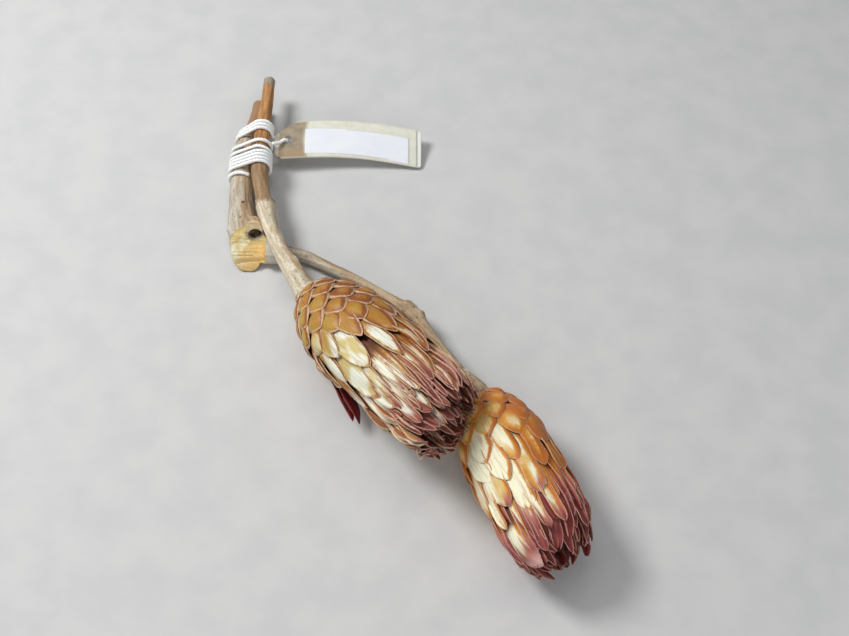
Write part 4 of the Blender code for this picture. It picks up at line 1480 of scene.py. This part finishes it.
# The card's cockle: how high it is, how often it changes along and across, and where it starts to show.
COCKLE = 0.22
COCKLE_PACE = (0.09, 0.13)
COCKLE_START = 12
FACING_END = 64.5
FACING_DROP = 0.3
FACING_THICKNESS = 0.2
LABEL_START = 12.9
LABEL_END = 60.8
LABEL_LEFT_SIDES = (-7.2, 5.2)
LABEL_RIGHT_SIDES = (-8.7, 4.2)
LABEL_THICKNESS = 0.12
LABEL_SINK = 0.02


def arc(centre_u, centre_v, radius, start, end, steps):
    angles = [mix(start, end, step / steps) for step in range(steps + 1)]
    return [(centre_u + radius * math.cos(angle), centre_v + radius * math.sin(angle)) for angle in angles]


def flat_card(outlines, thickness, name):
    """A card cut to its outlines, split finely enough to be curled."""
    curve = bpy.data.curves.new(name, "CURVE")
    curve.dimensions = "2D"
    curve.fill_mode = "BOTH"
    curve.extrude = thickness / 2 * MM
    for edge in outlines:
        spline = curve.splines.new("POLY")
        spline.points.add(len(edge) - 1)
        spline.use_cyclic_u = True
        for vertex, (u, v) in zip(spline.points, edge):
            vertex.co = (u * MM, v * MM, 0, 1)
    mesh = applied(helper(curve))
    strips = bmesh.new()
    strips.from_mesh(mesh)
    bmesh.ops.remove_doubles(strips, verts=strips.verts, dist=CARD_WELD * MM)
    bmesh.ops.dissolve_limit(
        strips,
        angle_limit=CARD_FLATNESS,
        verts=strips.verts,
        edges=strips.edges,
    )
    for direction, reach in ((Vector((1, 0, 0)), TAG_LENGTH), (Vector((0, 1, 0)), TAG_WIDTH / 2)):
        steps = int(reach / CARD_STEP)
        for number in range(-steps, steps + 1):
            bmesh.ops.bisect_plane(
                strips,
                geom=strips.verts[:] + strips.edges[:] + strips.faces[:],
                plane_co=direction * number * CARD_STEP * MM,
                plane_no=direction,
            )
    return strips


def curl(strips, lift, name):
    """Bends a flat card into the tag's shape, with a slight cockle, and stores each point's flat place."""
    card = strips.verts.layers.float_vector.new("card")
    for vertex in strips.verts:
        u, v, w = vertex.co / MM
        vertex[card] = (u, v, w)
        cockle = COCKLE * uneven(u * COCKLE_PACE[0], v * COCKLE_PACE[1], 2.0)
        cockle *= min(abs(u - TAG_HOLE_INSET) / COCKLE_START, 1)
        vertex.co = tag_point(u, v, w + lift + cockle) * MM
    bmesh.ops.recalc_face_normals(strips, faces=strips.faces)
    return mesh_from(strips, name)


def card_finish(name, fresh, aged):
    """Card: brown and scuffed at the tied end, paler at its edges and a little grey with handling."""
    material, wire = start_finish(name)
    card = wire.attribute("card")
    u, v, _ = card.parts()
    fibres = card.noise(2.6, 4.0, 0.65)
    stains = card.stretched(0.6, 1, 1).noise(0.35, 3.0, 0.6)
    colour = stains.between(0.35, 0.7).mix(fresh, aged)
    worn = (u + (stains - 0.5) * 4 - abs(v) * 0.2).between(13.6, 10.6)
    brown = stains.between(0.35, 0.65).mix((0.35, 0.275, 0.16), (0.23, 0.17, 0.125))
    brown = (u + v * 0.8 + (stains - 0.5) * 6).between(1.5, -2.5).mix(brown, (0.36, 0.33, 0.24))
    brown = (v + (stains - 0.5) * 3).between(-4.0, -6.0).mix(brown, (0.34, 0.23, 0.12))
    colour = (worn * 0.92).mix(colour, brown)
    edge = abs(v).between(8.5, 9.2).greater(u.between(1.4, 0.3))
    colour = (edge * 0.7).mix(colour, (0.78, 0.75, 0.64))
    colour = (fibres.between(0.5, 0.3) * 0.25).mix(colour, (0.45, 0.38, 0.28))
    return end_finish(material, colour, 0.75, fibres, 0.12)


def label_finish():
    material, wire = start_finish("tag_label")
    card = wire.attribute("card")
    fibres = card.noise(3.0, 4.0, 0.65)
    shade = card.stretched(0.5, 1, 1).noise(0.2)
    colour = shade.between(0.3, 0.7).mix((0.78, 0.81, 0.88), (0.82, 0.84, 0.87))
    return end_finish(material, colour, 0.6, fibres, 0.05)


def add_layer(name, outlines, thickness, lift, finish, *nodes):
    """Cuts one layer of the tag, curls it and adds it to the bunch."""
    strips = flat_card(outlines, thickness, name)
    add_piece(name, curl(strips, lift, name), finish, "tag_card", *nodes)


half = TAG_WIDTH / 2
inner = half - TAG_CORNER
far = TAG_LENGTH - TAG_CORNER
tied_end = [
    (TAG_UPPER_CLIP[0], half),
    (TAG_TIED_END, half - TAG_UPPER_CLIP[1]),
    (TAG_TIED_END, TAG_LOWER_CLIP[1] - half),
    (TAG_LOWER_CLIP[0], -half),
]
card_outline = tied_end + arc(far, -inner, TAG_CORNER, -math.pi / 2, 0, CORNER_STEPS)
card_outline += arc(far, inner, TAG_CORNER, 0, math.pi / 2, CORNER_STEPS)
facing_outline = tied_end + [(FACING_END, -half - FACING_DROP), (FACING_END, half - FACING_DROP)]
hole_outline = arc(TAG_HOLE_INSET, 0, TAG_EYE_RADIUS, TURN, TURN / EYE_SIDES, EYE_SIDES - 1)
label_outline = [
    (LABEL_START, LABEL_LEFT_SIDES[0]),
    (LABEL_END, LABEL_RIGHT_SIDES[0]),
    (LABEL_END, LABEL_RIGHT_SIDES[1]),
    (LABEL_START, LABEL_LEFT_SIDES[1]),
]
facing_lift = (CARD_THICKNESS + FACING_THICKNESS) / 2
label_lift = CARD_THICKNESS / 2 + FACING_THICKNESS + LABEL_THICKNESS / 2 - LABEL_SINK
cream_card = card_finish("tag_card", (0.86, 0.87, 0.86), (0.80, 0.79, 0.73))
worn_card = card_finish("tag_facing", (0.76, 0.76, 0.66), (0.70, 0.68, 0.55))
add_layer("card_tag", (card_outline, hole_outline), CARD_THICKNESS, 0, cream_card, "tag")
add_layer("tag_facing", (facing_outline, hole_outline), FACING_THICKNESS, facing_lift, worn_card)
add_layer("tag_label", (label_outline,), LABEL_THICKNESS, label_lift, label_finish())

# Setting: a plain pale floor under soft studio light, and the camera at the photograph's angle. The light
# comes from a soft box on the upper left, with a weaker one in front and a broad one above.
CAMERA_AIM = place(0, 0, 0) * MM
CAMERA_DISTANCE = 0.575
CAMERA_ELEVATION = math.radians(55)
CAMERA_WIDTH_OF_VIEW = math.radians(35)
FLOOR_REACH = 3
FLOOR_DROP = 0.1


def floor_finish():
    material, wire = start_finish("floor")
    grain = wire.coordinates().noise(60.0, 3.0)
    colour = grain.between(0.3, 0.7).mix((0.56, 0.56, 0.56), (0.60, 0.60, 0.59))
    return end_finish(material, colour, 0.8, grain, 0.05)


def add_soft_box(name, position, size, power):
    light = bpy.data.lights.new(name, "AREA")
    light.shape = "DISK"
    light.size = size
    light.energy = power
    made = bpy.data.objects.new(name, light)
    made.location = position
    made.rotation_euler = (CAMERA_AIM - Vector(position)).to_track_quat("-Z", "Y").to_euler()
    bpy.context.scene.collection.objects.link(made)


floor_body = bmesh.new()
bmesh.ops.create_grid(floor_body, x_segments=1, y_segments=1, size=FLOOR_REACH)
floor = helper(mesh_from(floor_body, "floor"))
floor.name = "floor"
floor.location.z = -FLOOR_DROP * MM
floor.data.materials.append(floor_finish())
floor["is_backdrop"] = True
add_soft_box("key_light", (-0.55, 0.2, 0.75), 0.35, 6.6)
add_soft_box("fill_light", (0.1, -0.9, 0.55), 0.6, 2.8)
add_soft_box("top_light", (0.0, 0.1, 1.1), 0.8, 2.0)
world = bpy.data.worlds.new("studio")
world.use_nodes = True
background = world.node_tree.nodes["Background"]
background.inputs["Color"].default_value = (0.95, 0.97, 1.0, 1)
background.inputs["Strength"].default_value = 0.22
bpy.context.scene.world = world
bpy.context.scene.view_settings.view_transform = "Standard"
camera = bpy.data.objects.new("camera", bpy.data.cameras.new("camera"))
camera.data.sensor_fit = "HORIZONTAL"
camera.data.angle = CAMERA_WIDTH_OF_VIEW
camera.data.clip_start = 0.01
camera_side = Vector((0, -math.cos(CAMERA_ELEVATION), math.sin(CAMERA_ELEVATION)))
camera.location = CAMERA_AIM + camera_side * CAMERA_DISTANCE
camera.rotation_euler = (math.pi / 2 - CAMERA_ELEVATION, 0, 0)
bpy.context.scene.collection.objects.link(camera)
bpy.context.scene.camera = camera

boxes = {"cad": cad_box, "visual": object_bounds()}
{name: [list(corner) for corner in box] for name, box in boxes.items()}
